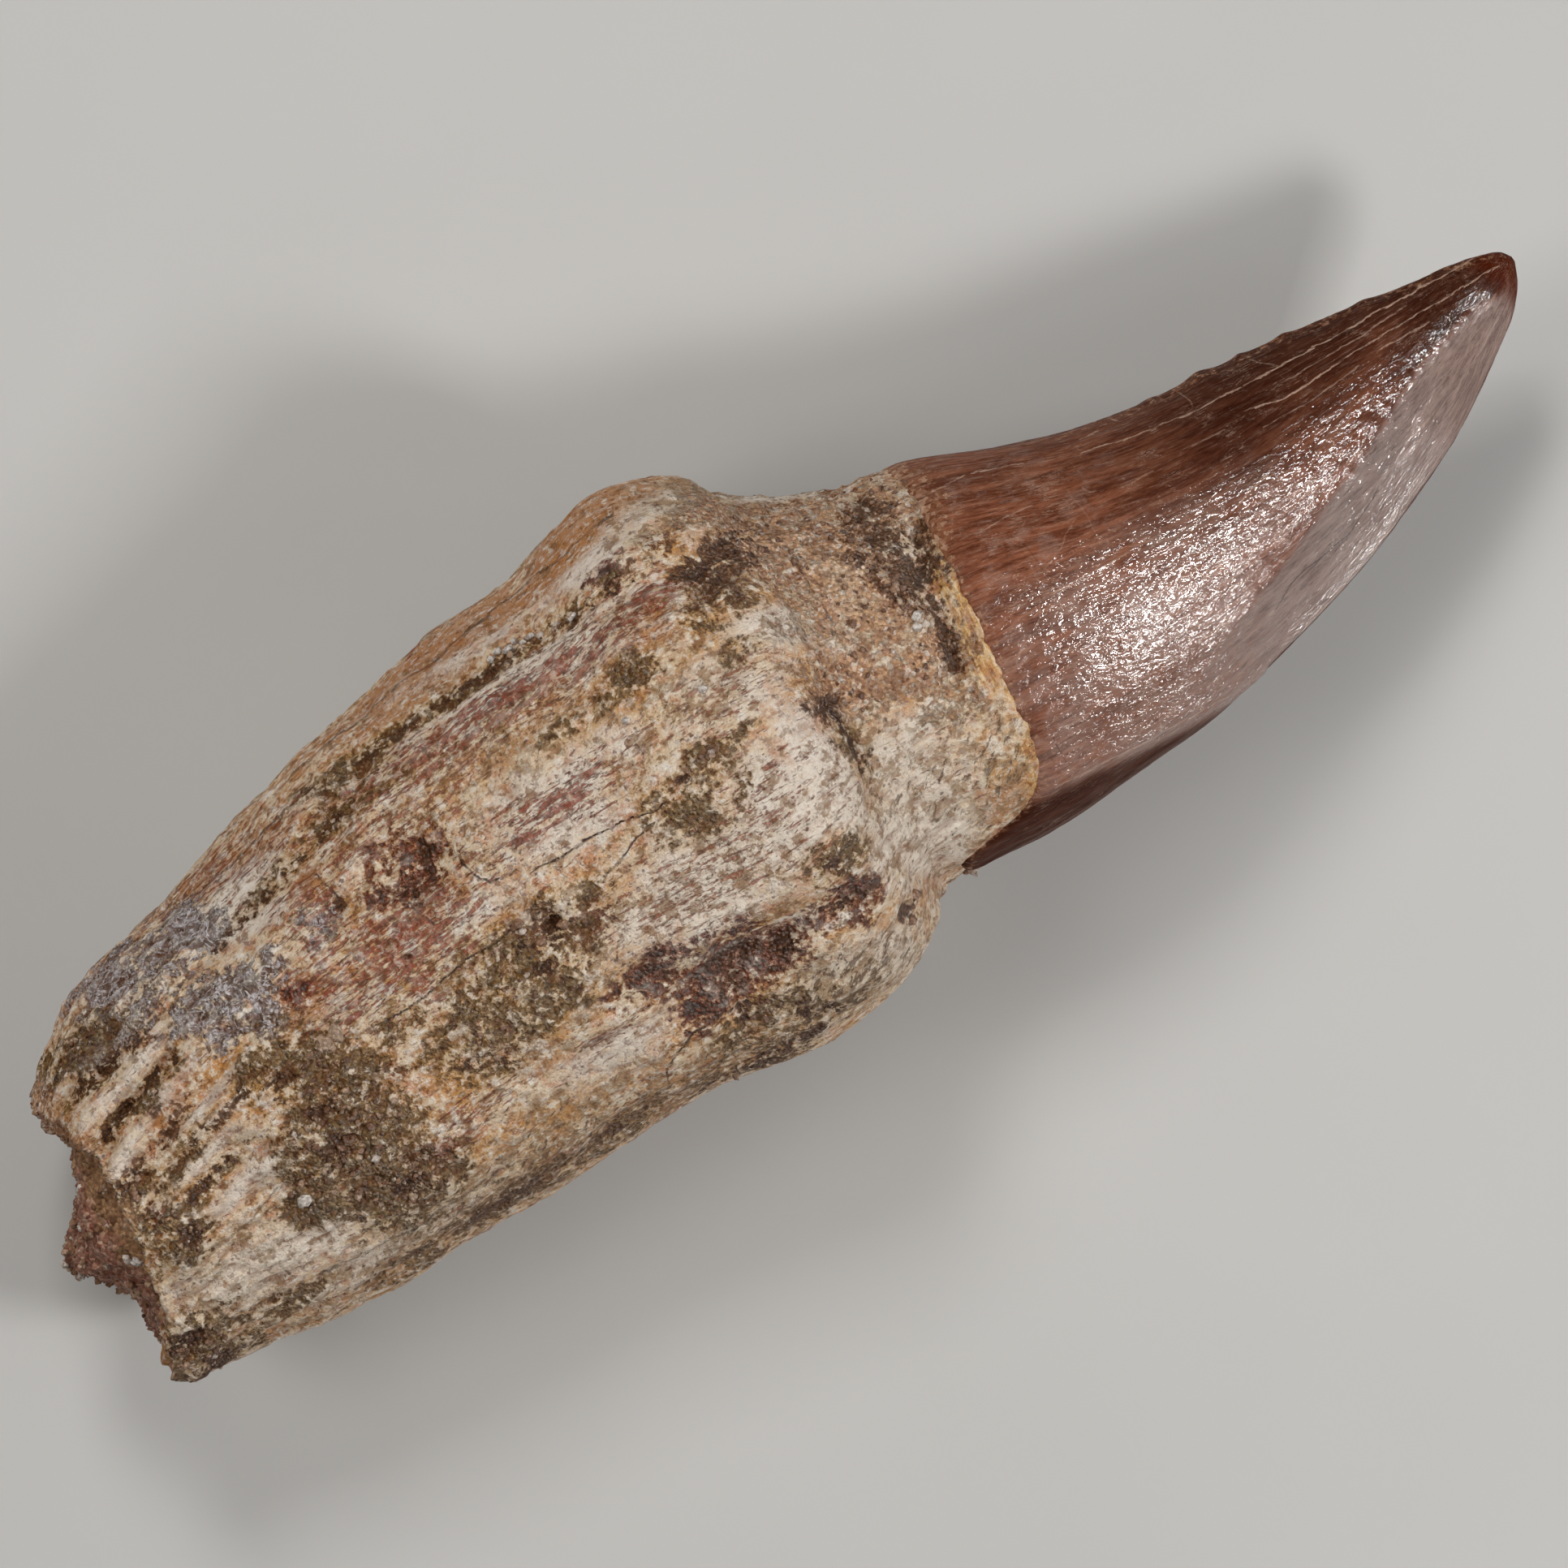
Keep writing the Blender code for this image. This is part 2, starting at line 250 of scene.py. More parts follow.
class StoneNoise:
    """Seeded noise in space, for relief and stains."""

    def __init__(self, seed: int) -> None:
        """Draw the tables of random directions and cell points.

        Args:
            seed: Number that fixes the pattern.
        """
        draw = np.random.default_rng(seed)
        self.table = np.tile(draw.permutation(256), 2)
        self.directions = draw.normal(size=(256, 3))
        self.directions /= np.linalg.norm(self.directions, axis=1, keepdims=True)
        self.spots = draw.random((256, 3))

    def _corner(self, i: Array) -> Array:
        """Give the table number of each cell corner."""
        i = i & 255
        return self.table[self.table[self.table[i[..., 0]] + i[..., 1]] + i[..., 2]]

    def at(self, places: Array, scale: float | Triple = 1.0) -> Array:
        """Read smooth noise.

        Args:
            places: Points in mm.
            scale: Waves per mm, along each axis.

        Returns:
            Values from about -1 to 1.
        """
        q = places * np.asarray(scale, float)
        cell = np.floor(q).astype(np.int64)
        f = q - cell
        fade = f * f * f * (f * (f * 6 - 15) + 10)
        total = np.zeros(q.shape[:-1])
        for corner in product((0, 1), repeat=3):
            step = np.array(corner)
            direction = self.directions[self._corner(cell + step)]
            dot = np.sum(direction * (f - step), axis=-1)
            side = np.where(step == 1, fade, 1 - fade)
            total += dot * side[..., 0] * side[..., 1] * side[..., 2]
        return total * 1.7

    def layered(self, places: Array, scale: float | Triple,
                layers: int = 4, keep: float = 0.5) -> Array:
        """Add up finer and finer noise.

        Args:
            places: Points in mm.
            scale: Waves per mm of the coarsest layer.
            layers: How many layers.
            keep: Strength of each layer to the one before.

        Returns:
            Values from about -1 to 1.
        """
        total, strength, whole = 0.0, 1.0, 0.0
        for k in range(layers):
            total = total + strength * self.at(places + 17.3 * k, np.asarray(scale) * 2.03 ** k)
            whole += strength
            strength *= keep
        return total / whole * 1.4

    def grains(self, places: Array, scale: float | Triple) -> tuple[Array, Array]:
        """Read a packing of round grains.

        Args:
            places: Points in mm.
            scale: Grains per mm.

        Returns:
            Distance to the nearest grain's middle, and that grain's random number.
        """
        q = places * np.asarray(scale, float)
        cell = np.floor(q).astype(np.int64)
        near = np.full(q.shape[:-1], 9.0)
        mark = np.zeros(q.shape[:-1])
        for step in product((-1, 0, 1), repeat=3):
            here = cell + np.array(step)
            number = self._corner(here)
            gap = np.linalg.norm(here + self.spots[number] - q, axis=-1)
            closer = gap < near
            near = np.where(closer, gap, near)
            mark = np.where(closer, number / 255.0, mark)
        return near, mark


@dataclass(frozen=True)
class ToothForm:
    """Outer form of the tooth, as the solid has it."""

    low_edge: Line = (
        (-46, -12.7), (-44, -13.1), (-41, -13.3), (-36, -14), (-30, -14.45), (-22, -14.37), (-16, -14.26),
        (-12, -14.55), (-8, -15.3), (-6, -15.61), (-4, -15.5), (-2, -14.96), (0, -14.06), (2, -12.98),
        (3.9, -11.7), (6, -11.8), (11, -12.19), (16, -11.95), (20, -11.74), (24, -11.03), (28, -10.14),
        (32, -9), (36, -7.44), (40, -5.64), (44, -3.05), (46, -1.54), (46.8, -0.55), (47.3, 0.55))
    high_edge: Line = (
        (-46, 4), (-44.2, 4.9), (-42, 6.58), (-40, 7.74), (-38, 8.47), (-34, 9.46), (-30, 10.62),
        (-26, 11.72), (-22, 12.77), (-18, 13.44), (-12, 14.26), (-8, 14.53), (-4, 15.51), (-2, 15.59),
        (0, 15.04), (2, 14.11), (4, 12.71), (6, 11.25), (8, 10.16), (10, 9.34), (12, 9.14), (14, 8.52),
        (18, 6.79), (22, 5.41), (26, 4.61), (32, 3.99), (38, 3.1), (42, 2.42), (44, 2.14), (46, 1.66),
        (46.9, 1.28), (47.3, 0.75))
    crest_z: Line = (
        (-46, 17), (-42, 18.3), (-36, 19.8), (-28, 21.4), (-18, 23.2), (-8, 24.6), (-2, 24.9), (1, 24),
        (4, 21.6), (7, 20.6), (12, 20.2), (16, 19.9), (22, 18.7), (30, 16.4), (38, 13.9), (44, 11.8),
        (46.6, 10.9), (47.3, 10.25))
    keel_z: Line = (
        (-46, 1.6), (-42, 0.4), (-36, -0.9), (-28, -1.2), (-8, -1.1), (-2, -0.5), (1, 0.7), (4, 2.6),
        (8, 3.3), (13, 2.9), (20, 3.3), (28, 4.6), (36, 6.4), (44, 8.6), (46.6, 9.5), (47.3, 10.15))
    low_edge_z: Line = (
        (-46, 8.5), (-30, 9.5), (-6, 10.5), (4, 10.5), (12, 9.6), (22, 9.4), (36, 9.7), (47.3, 10.2))
    high_edge_z: Line = (
        (-46, 9), (-30, 10), (-4, 11), (8, 10.5), (14, 10.6), (26, 10.8), (36, 10.6), (47.3, 10.2))
    crest_y: Line = (
        (-46, -3.5), (-38, -2), (-28, -1.2), (-10, -0.6), (2, -0.8), (13, -1.4), (20, -2.6), (28, -3.3),
        (36, -2.5), (44, -0.5), (47.3, 0.65))
    keenness: Line = (
        (-46, 0.5), (-38, 0.46), (0, 0.46), (5, 0.5), (13, 0.52), (24, 0.6), (32, 0.7), (44, 0.72),
        (47.3, 0.6))
    strip_line: Line = (
        (18, -9.6), (24, -8), (28, -6.5), (32, -5), (36, -3.4), (40, -1.6), (42, -1.05), (44, -0.65),
        (45.8, -0.6), (46.6, 0.2), (47.3, 0.9))
    broken_rim: Line = (
        (0, -43.9), (22, -44.3), (40, -43.5), (60, -42.7), (75, -42.2), (92, -42.3), (110, -42.9),
        (130, -43.9), (150, -45.1), (165, -45.6), (182, -44.3), (212, -43.3), (250, -42.7), (290, -43.1),
        (330, -43.4), (360, -43.9))
    enamel_edge: Line = (
        (0, 12.6), (40, 12.9), (56, 12.75), (72, 12.5), (85, 12.25), (102, 11.85), (124, 11.3), (138, 10.8),
        (148, 9.2), (156, 6.6), (164, 5.2), (180, 5), (205, 5.6), (240, 7.4), (270, 8.6), (300, 9.6),
        (330, 11.2), (348, 12.2), (360, 12.6))
    tip: Triple = (47.3, 0.65, 10.2)
    crest_round: float = 0.5
    shoulder_line: Line = (
        (3.2, 14.5), (4.6, 10), (4.4, 6), (3.9, 2.5), (2.9, 0), (3, -2.5), (1.8, -5.5), (1.2, -9),
        (2.4, -12), (2.8, -15))
    long_groove: Line = (
        (1, 9.5), (-4, 10.5), (-9, 10.9), (-14, 10.9), (-19.5, 10.5), (-22, 8.3), (-28, 7), (-31, 6))
    edge_groove: Line = ((-1, 13.2), (-6, 13.5), (-12, 13.2), (-18, 12.6))
    crevice: Line = ((12, 5.4), (11.1, 3), (11, 1), (10.4, -1.2), (9.7, -2.4))
    low_carina: Line = (
        (24, -10.9), (20, -10.7), (16.5, -10.4), (12.3, -10), (10.6, -9.9))
    ribs: tuple[Line, ...] = (
        ((-42.2, 0.8), (-40.5, 2.1), (-37, 3), (-35, 3.5)),
        ((-43, -2), (-41, -0.6), (-38, 0.9), (-34.4, 1.6)), ((-38, -1.6), (-36, -1), (-32, 0.3)),
        ((-40.3, -4.5), (-38, -3.1), (-35, -2.6), (-33.5, -3)), ((-40.5, -6.2), (-37, -5.4), (-33, -4.5)))
    hollows: tuple[Patch, ...] = patches(
        (-19.8, 4.4, 2.6, 2, -0.85), (-15.3, -2, 1.1, 0.9, -0.65), (-8.4, -9.6, 4.6, 2, -1.1),
        (-3, -9.3, 3, 1.1, -0.6), (-12.6, -7.6, 2.2, 1.5, -0.35), (3.3, -11, 2.2, 1.3, -0.35),
        (-24, 4.7, 0.9, 0.8, -0.35), (1.6, 8.9, 1.5, 1.1, -0.4), (-6.5, -12.2, 4.5, 0.8, -0.35))
    crusts: tuple[Patch, ...] = patches(
        (-30.6, -4.6, 4, 5.2, 0.5), (-42.8, -11.6, 2.2, 1.6, 0.55), (-41.3, -5, 2.3, 2, 0.4),
        (-19.4, -5, 4.4, 2.6, 0.35), (-5.3, -0.2, 2.7, 1.9, 0.35), (-35.5, 6.8, 4.6, 2.2, 0.35),
        (-31, 3.2, 3.2, 1.6, 0.25), (7, 5, 4.2, 4.6, 0.45), (-28, -1.3, 0.8, 0.7, 0.35),
        (-2, -13.2, 3, 1.6, 0.4))

    @staticmethod
    def half_section(u: Array, height: Array, keenness: Array, roundness: float = 2.15) -> Array:
        """Give the height of a quarter of a ring at the share u of the way to its edge."""
        inside = np.clip(1 - np.abs(u) ** roundness, 0.0, 1.0)
        return height * inside ** keenness

    def body(self, x: Array, turn: Array) -> Array:
        """Place the plain body, before its relief.

        Args:
            x: Places along the tooth.
            turn: Angles round the axis in radians.

        Returns:
            Points in mm.
        """
        low, high = smooth_curve(self.low_edge, x), smooth_curve(self.high_edge, x)
        crest_y, crest_z = smooth_curve(self.crest_y, x), smooth_curve(self.crest_z, x)
        keel_z, keen = smooth_curve(self.keel_z, x), smooth_curve(self.keenness, x)
        across = np.cos(turn)
        width = np.where(across > 0, high - crest_y, crest_y - low)
        y = crest_y + width * across
        side_z = np.where(across > 0, smooth_curve(self.high_edge_z, x),
                          smooth_curve(self.low_edge_z, x))
        upper = np.sin(turn) >= 0
        top = side_z + self.half_section(across, crest_z - side_z, keen)
        under = side_z - self.half_section(across, side_z - keel_z, keen, 2.2)
        z = self._strip(x, y, np.where(upper, top, under), upper, low, crest_y, crest_z, keen)
        return np.stack((x, y, z), axis=-1)

    def _strip(self, x: Array, y: Array, z: Array, upper: Array, low: Array, crest_y: Array,
               crest_z: Array, keen: Array) -> Array:
        """Flatten the crown between its crest line and its lower edge.

        Args:
            x: Places along the tooth.
            y: Places across it.
            z: Heights of the plain body.
            upper: Which places are on the upper half.
            low: Lower edge there.
            crest_y: Crest there, across.
            crest_z: Crest there, upward.
            keen: Keenness of the section there.

        Returns:
            Heights with the flat strip.
        """
        line_y, low_z = smooth_curve(self.strip_line, x), smooth_curve(self.low_edge_z, x)
        u = np.clip((crest_y - line_y) / (crest_y - low), 0.0, 1.0)
        line_z = low_z + self.half_section(u, crest_z - low_z, keen)
        share = np.clip((y - low) / np.maximum(line_y - low, 1e-6), 0.0, 1.0)
        past = (line_z - low_z) / np.maximum(line_y - low, 0.3) * np.maximum(y - line_y, 0.0)
        flat = low_z + (line_z - low_z) * share + past
        weight = soft_step(19.0, 28.0, x) * soft_step(47.2, 45.5, x)
        over = np.clip(0.5 + (z - flat) / self.crest_round, 0.0, 1.0)
        lower = z + (flat - z) * over - 0.5 * self.crest_round * over * (1 - over)
        return np.where(upper & (y < line_y + 0.6), z + (np.minimum(lower, z) - z) * weight, z)

    @staticmethod
    def face(turn: Array) -> Array:
        """Give one on the upper face and nought on the underside."""
        return soft_step(0.02, 0.22, np.sin(turn))

    @staticmethod
    def swelling(x: Array, turn: Array) -> Array:
        """Give the gentle uneven growth of the root all the way round.

        Args:
            x: Places along the tooth.
            turn: Angles round the axis in radians.

        Returns:
            Height in mm.
        """
        wave = 0.22 * np.sin(0.23 * x + 2 * turn + 0.6) * np.sin(3 * turn + 0.11 * x)
        wave += 0.14 * np.sin(0.47 * x - 3 * turn + 1.9) + 0.1 * np.sin(0.83 * x + 5 * turn)
        return 0.5 * wave * soft_step(7.0, -2.0, x)

    @staticmethod
    def underside(x: Array, turn: Array) -> Array:
        """Give the long flutes and the resorbed hollow of the hidden sides.

        Args:
            x: Places along the tooth.
            turn: Angles round the axis in radians.

        Returns:
            Height in mm, below nought.
        """
        away = soft_step(0.15, -0.35, np.sin(turn)) * soft_step(4.0, -3.0, x)
        angle = np.degrees(turn)
        flute = -0.45 * np.exp(-((angle - 305 + 0.35 * x) / 7.0) ** 2)
        flute -= 0.4 * np.exp(-((angle - 222 - 0.3 * x) / 7.0) ** 2)
        hollow = -0.9 * np.exp(-((x + 9.0) / 5.0) ** 2 - ((angle - 212) / 12.0) ** 2)
        return away * (flute + hollow)

    def root_relief(self, x: Array, y: Array, turn: Array) -> Array:
        """Give the broad relief of the root and the neck.

        Args:
            x: Places along the tooth.
            y: Places across the tooth.
            turn: Angles round the axis in radians.

        Returns:
            Height over the plain body in mm.
        """
        rise = -0.85 * on_line(x, y, self.long_groove, 0.75)
        rise -= 0.2 * on_line(x, y, self.edge_groove, 0.8)
        rise -= 0.8 * on_line(x, y, self.crevice, 0.8)
        for rib in self.ribs:
            rise += 0.25 * on_line(x, y, rib, 0.55)
        for patch in self.hollows + self.crusts:
            rise += patch.mound(x, y)
        line = smooth_curve(tuple(sorted((b, a) for a, b in self.shoulder_line)), y)
        step = soft_step(1.2, -1.2, x - line) * soft_step(-9.0, 1.0, x)
        sharp = 0.3 + 0.6 * soft_step(-9.0, -5.0, y)
        rise += sharp * step * soft_step(3.6, 1.0, x - 1.6)
        return rise * self.face(turn) + self.swelling(x, turn) + self.underside(x, turn)

    @staticmethod
    def outward(grid: Array) -> Array:
        """Find the unit outward direction at each point of a grid of rings.

        Args:
            grid: Ring points.

        Returns:
            Unit directions.
        """
        along = np.gradient(grid, axis=0)
        turned = np.roll(grid, -1, axis=1) - np.roll(grid, 1, axis=1)
        normal = np.cross(turned, along)
        return normal / np.maximum(np.linalg.norm(normal, axis=2, keepdims=True), 1e-9)

    @staticmethod
    def fibres(grid: Array, turn: Array, radius: Array) -> Array:
        """Give straightened places that run along the fibres of the tooth."""
        y, z = radius * np.cos(turn), radius * np.sin(turn)
        return np.stack((grid[..., 0], y, z), axis=-1)


FORM = ToothForm()


def uneven_turns(count: int, upper_share: float) -> Array:
    """Spread angles round the axis with more of them on the upper face.

    Args:
        count: How many angles.
        upper_share: Share of them on the upper half.

    Returns:
        Angles in radians from 0 up to a full turn.
    """
    upper = int(round(count * upper_share))
    top = np.linspace(0.0, math.pi, upper, endpoint=False)
    under = np.linspace(math.pi, 2 * math.pi, count - upper, endpoint=False)
    return np.concatenate((top, under))


def lathe_faces(rings: int, count: int) -> Array:
    """Join a stack of rings by four-sided faces that look outward.

    Args:
        rings: How many rings.
        count: Points of each ring.

    Returns:
        Corner numbers of each face.
    """
    i, j = np.meshgrid(np.arange(rings - 1), np.arange(count), indexing="ij")
    k = (j + 1) % count
    quad = np.stack((i * count + j, i * count + k, (i + 1) * count + k, (i + 1) * count + j), -1)
    return quad.reshape(-1, 4)


def shell_faces(rings: int, count: int, flipped: bool = False) -> list[Array]:
    """Close a stack of rings with a fan at each end.

    Args:
        rings: How many rings.
        count: Points of each ring; the middles of both ends follow the last ring.
        flipped: Whether the rings run towards -X, so that the faces turn over.

    Returns:
        Faces of the wall, the first fan and the last fan.
    """
    j = np.arange(count)
    k = (j + 1) % count
    last = (rings - 1) * count
    first = np.stack((np.full(count, rings * count), k, j), -1)
    final = np.stack((np.full(count, rings * count + 1), last + j, last + k), -1)
    faces = [lathe_faces(rings, count), first, final]
    return [f[:, ::-1] for f in faces] if flipped else faces


def padded(values: Array, before: int, after: int) -> Array:
    """Carry the values of a skin onto the rings added at its ends and onto both middles.

    Args:
        values: One value for each ring and place round it.
        before: Rings added before the skin.
        after: Rings added after it.

    Returns:
        One value for each point of the shell.
    """
    flat = [np.repeat(values[:1], before, axis=0), values, np.repeat(values[-1:], after, axis=0)]
    whole = np.concatenate(flat).reshape(-1, *values.shape[2:])
    return np.concatenate((whole, np.stack((values[0, 0], values[-1, 0]))))


class Piece:
    """A mesh piece of the tooth, gathered in mm and then placed."""

    def __init__(self, name: str, slot: Slot) -> None:
        """Start an empty piece.

        Args:
            name: Name of the object.
            slot: Slot of its finish, kept on the piece.
        """
        self.name = name
        self.slot = slot
        self.points: list[Array] = []
        self.faces: list[Array] = []
        self.paint: dict[str, list[Array]] = {}
        self.count = 0

    def add(self, points: Array, faces: list[Array], paint: dict[str, Array]) -> None:
        """Add a closed shell.

        Args:
            points: Its places in mm.
            faces: Arrays of faces, each with one number of corners.
            paint: Values at its points, by name.
        """
        self.points.append(points)
        self.faces += [f + self.count for f in faces]
        for key, values in paint.items():
            self.paint.setdefault(key, []).append(values)
        self.count += len(points)

    def build(self, material: bpy.types.Material) -> bpy.types.Object:
        """Make the object, dress it and tie it to the solid.

        Args:
            material: Its finish.

        Returns:
            The new object.
        """
        points = (np.concatenate(self.points) - ORIGIN) * MM
        corners = np.concatenate([f.ravel() for f in self.faces])
        sizes = np.concatenate([np.full(len(f), f.shape[1]) for f in self.faces])
        mesh = bpy.data.meshes.new(self.name)
        mesh.vertices.add(len(points))
        mesh.vertices.foreach_set("co", points.ravel())
        mesh.loops.add(len(corners))
        mesh.loops.foreach_set("vertex_index", corners.astype(np.int32))
        mesh.polygons.add(len(sizes))
        starts = np.concatenate(([0], np.cumsum(sizes)[:-1]))
        mesh.polygons.foreach_set("loop_start", starts.astype(np.int32))
        mesh.polygons.foreach_set("loop_total", sizes.astype(np.int32))
        mesh.polygons.foreach_set("use_smooth", np.ones(len(sizes), bool))
        for key, parts in self.paint.items():
            values = np.concatenate(parts)
            kind = "FLOAT_VECTOR" if values.ndim == 2 else "FLOAT"
            layer = mesh.attributes.new(key, kind, "POINT")
            layer.data.foreach_set("vector" if values.ndim == 2 else "value", values.ravel())
        mesh.update(calc_edges=True)
        mesh.validate()
        mesh.materials.append(material)
        piece = bpy.data.objects.new(self.name, mesh)
        bpy.context.scene.collection.objects.link(piece)
        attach(piece, "root")
        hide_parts("tooth")
        LOG.info("%s: %d points, %d faces", self.name, len(points), len(sizes))
        return piece


def tone(*screen: int) -> Colour:
    """Turn a screen colour of 0 to 255 into the shader's own scale."""
    shares = [v / 255.0 for v in screen]
    return tuple(c / 12.92 if c <= 0.04045 else ((c + 0.055) / 1.055) ** 2.4 for c in shares)


class Graph:
    """Short words for making and joining shader nodes."""

    def __init__(self, name: str) -> None:
        """Start a material with a bare principled shader.

        Args:
            name: Name of the material.
        """
        self.material = bpy.data.materials.new(name)
        self.material.use_nodes = True
        self.tree = self.material.node_tree
        self.shader = self.tree.nodes["Principled BSDF"]

    def feed(self, socket: Socket, value: object) -> None:
        """Set a socket to a number or colour, or join another socket to it.

        Args:
            socket: Where it goes.
            value: Number, colour or other socket.
        """
        if isinstance(value, bpy.types.NodeSocket):
            self.tree.links.new(value, socket)
        elif isinstance(value, tuple) and socket.type == "RGBA":
            socket.default_value = (*value[:3], 1.0)
        else:
            socket.default_value = value

    def node(self, kind: str, inputs: dict[str | int, object], **settings: object) -> bpy.types.Node:
        """Add a node.

        Args:
            kind: End of its type's name.
            inputs: What feeds its inputs, by their name or number.
            **settings: Its own settings.

        Returns:
            The new node.
        """
        node = self.tree.nodes.new("ShaderNode" + kind)
        for key, value in settings.items():
            setattr(node, key, value)
        for key, value in inputs.items():
            self.feed(node.inputs[key], value)
        return node

    def paint(self, name: str) -> Socket:
        """Read a number painted on the piece."""
        return self.node("Attribute", {}, attribute_name=name).outputs["Fac"]

    def stretched(self, where: Socket, scale: Triple) -> Socket:
        """Stretch places along each axis."""
        return self.node("VectorMath", {0: where, 1: scale}, operation="MULTIPLY").outputs[0]

    def places(self, name: str, scale: Triple = (1, 1, 1)) -> Socket:
        """Read stretched places painted on the piece."""
        node = self.node("Attribute", {}, attribute_name=name)
        return self.stretched(node.outputs["Vector"], scale)

    def noise(self, where: Socket, scale: float, detail: float = 3.0, rough: float = 0.55,
              twist: float = 0.0) -> Socket:
        """Make cloudy noise from 0 to 1."""
        values = {"Vector": where, "Scale": scale, "Detail": detail, "Roughness": rough, "Distortion": twist}
        return self.node("TexNoise", values).outputs["Fac"]

    def noises(self, where: Socket, scale: float, detail: float, rough: float,
               twist: float = 0.0) -> tuple[Socket, Socket, Socket]:
        """Make three unlike cloudy noises in one go."""
        colour = self.noise(where, scale, detail, rough, twist).node.outputs["Color"]
        return tuple(self.node("SeparateColor", {0: colour}).outputs[:3])

    def cells(self, where: Socket, scale: float) -> tuple[Socket, Socket]:
        """Make a packing of cells: distance to the middle, and each cell's own colour."""
        node = self.node("TexVoronoi", {"Vector": where, "Scale": scale})
        return node.outputs["Distance"], node.outputs["Color"]

    def turned(self, where: Socket, degrees: float, scale: Triple) -> Socket:
        """Turn places about the upright axis, then stretch them."""
        values = {"Vector": where, "Angle": math.radians(degrees)}
        return self.stretched(self.node("VectorRotate", values, rotation_type="Z_AXIS").outputs[0], scale)

    def math(self, kind: str, a: object, b: object = 0.0, clamp: bool = False) -> Socket:
        """Reckon with two numbers."""
        return self.node("Math", {0: a, 1: b}, operation=kind, use_clamp=clamp).outputs[0]

    def times(self, a: object, b: object) -> Socket:
        """Multiply two numbers."""
        return self.math("MULTIPLY", a, b)

    def plus(self, a: object, b: object) -> Socket:
        """Add two numbers."""
        return self.math("ADD", a, b)

    def minus(self, a: object, b: object, clamp: bool = False) -> Socket:
        """Take b from a."""
        return self.math("SUBTRACT", a, b, clamp)

    def most(self, a: object, b: object) -> Socket:
        """Take the larger of two numbers."""
        return self.math("MAXIMUM", a, b)

    def swing(self, edge: Socket, spread: float) -> Socket:
        """Turn a noise of 0 to 1 into a push of half the spread either way."""
        values = {0: edge, 1: spread, 2: -spread / 2}
        return self.node("Math", values, operation="MULTIPLY_ADD").outputs[0]

    def band(self, value: Socket, low: float, high: float, start: float = 0.0,
             end: float = 1.0) -> Socket:
        """Go smoothly from start to end while the value goes from low to high."""
        values = {"Value": value, "From Min": low, "From Max": high, "To Min": start, "To Max": end}
        return self.node("MapRange", values, interpolation_type="SMOOTHSTEP").outputs["Result"]

    def mix(self, share: object, a: object, b: object) -> Socket:
        """Lay colour b over colour a."""
        return self.node("Mix", {0: share, 6: a, 7: b}, data_type="RGBA").outputs[2]

    def stain(self, colour: object, share: Socket, strength: float, tint: object) -> Socket:
        """Lay a tint over a colour where the share is high."""
        return self.mix(self.times(share, strength), colour, tint)

    def ramp(self, value: Socket, stops: Ramp) -> Socket:
        """Turn a number into a colour by named stops.

        Args:
            value: Number to judge.
            stops: Places and colours in rising order.

        Returns:
            The colour.
        """
        node = self.node("ValToRGB", {"Fac": value})
        bar = node.color_ramp.elements
        while len(bar) < len(stops):
            bar.new(0.5)
        for element, (place, colour) in zip(bar, stops):
            element.position = place
            element.color = (*colour, 1.0)
        return node.outputs["Color"]

    def torn(self, mask: Socket, edge: Socket, width: float = 0.08, spread: float = 2.0,
             level: float = 0.5) -> Socket:
        """Break up a painted patch's border with noise."""
        cover = self.band(self.plus(mask, self.swing(edge, spread)), level - width, level + width)
        return self.times(cover, self.band(mask, 0.02, 0.3))

    def depth(self, name: str, edge: Socket, spread: float) -> Socket:
        """Give how deep a painted patch lies, made uneven by noise: nought and less outside.

        Args:
            name: Name of the painted layer.
            edge: Noise that makes it uneven.
            spread: How far the noise pushes it.

        Returns:
            The depth.
        """
        mask = self.paint(name)
        uneven = self.plus(mask, self.times(self.swing(edge, spread), self.band(mask, 0.02, 0.4)))
        return self.times(uneven, self.band(mask, 0.02, 0.2))

    def line(self, name: str, wander: Socket, width: float) -> Socket:
        """Draw the painted seams as thin lines that wander with a noise.

        Args:
            name: Name of the seams.
            wander: Noise that they wander with.
            width: Half their width in mm.

        Returns:
            One on the lines and nought beside them.
        """
        away = self.plus(self.paint(name + "_off"), self.times(wander, 0.8))
        away = self.math("ABSOLUTE", self.minus(away, 0.4))
        core = self.band(away, width * 0.4, width, 1.0, 0.0)
        return self.times(core, self.paint(name))

    def bump(self, height: Socket, distance: float) -> Socket:
        """Raise a height given in shares of a distance in mm."""
        values = {"Strength": 1.0, "Distance": distance * MM, "Height": height}
        return self.node("Bump", values).outputs["Normal"]

    def dress(self, **sockets: object) -> bpy.types.Material:
        """Feed the principled shader and hand over the material.

        Args:
            **sockets: What feeds each socket, by its name with _ for a space.

        Returns:
            The material.
        """
        for key, value in sockets.items():
            self.feed(self.shader.inputs[key.replace("_", " ")], value)
        return self.material


@dataclass(frozen=True)
class Clouds:
    """Places on the bone and the noises that its layers share."""

    stone: Socket
    cloud: Socket
    grain: Socket
    edge: Socket


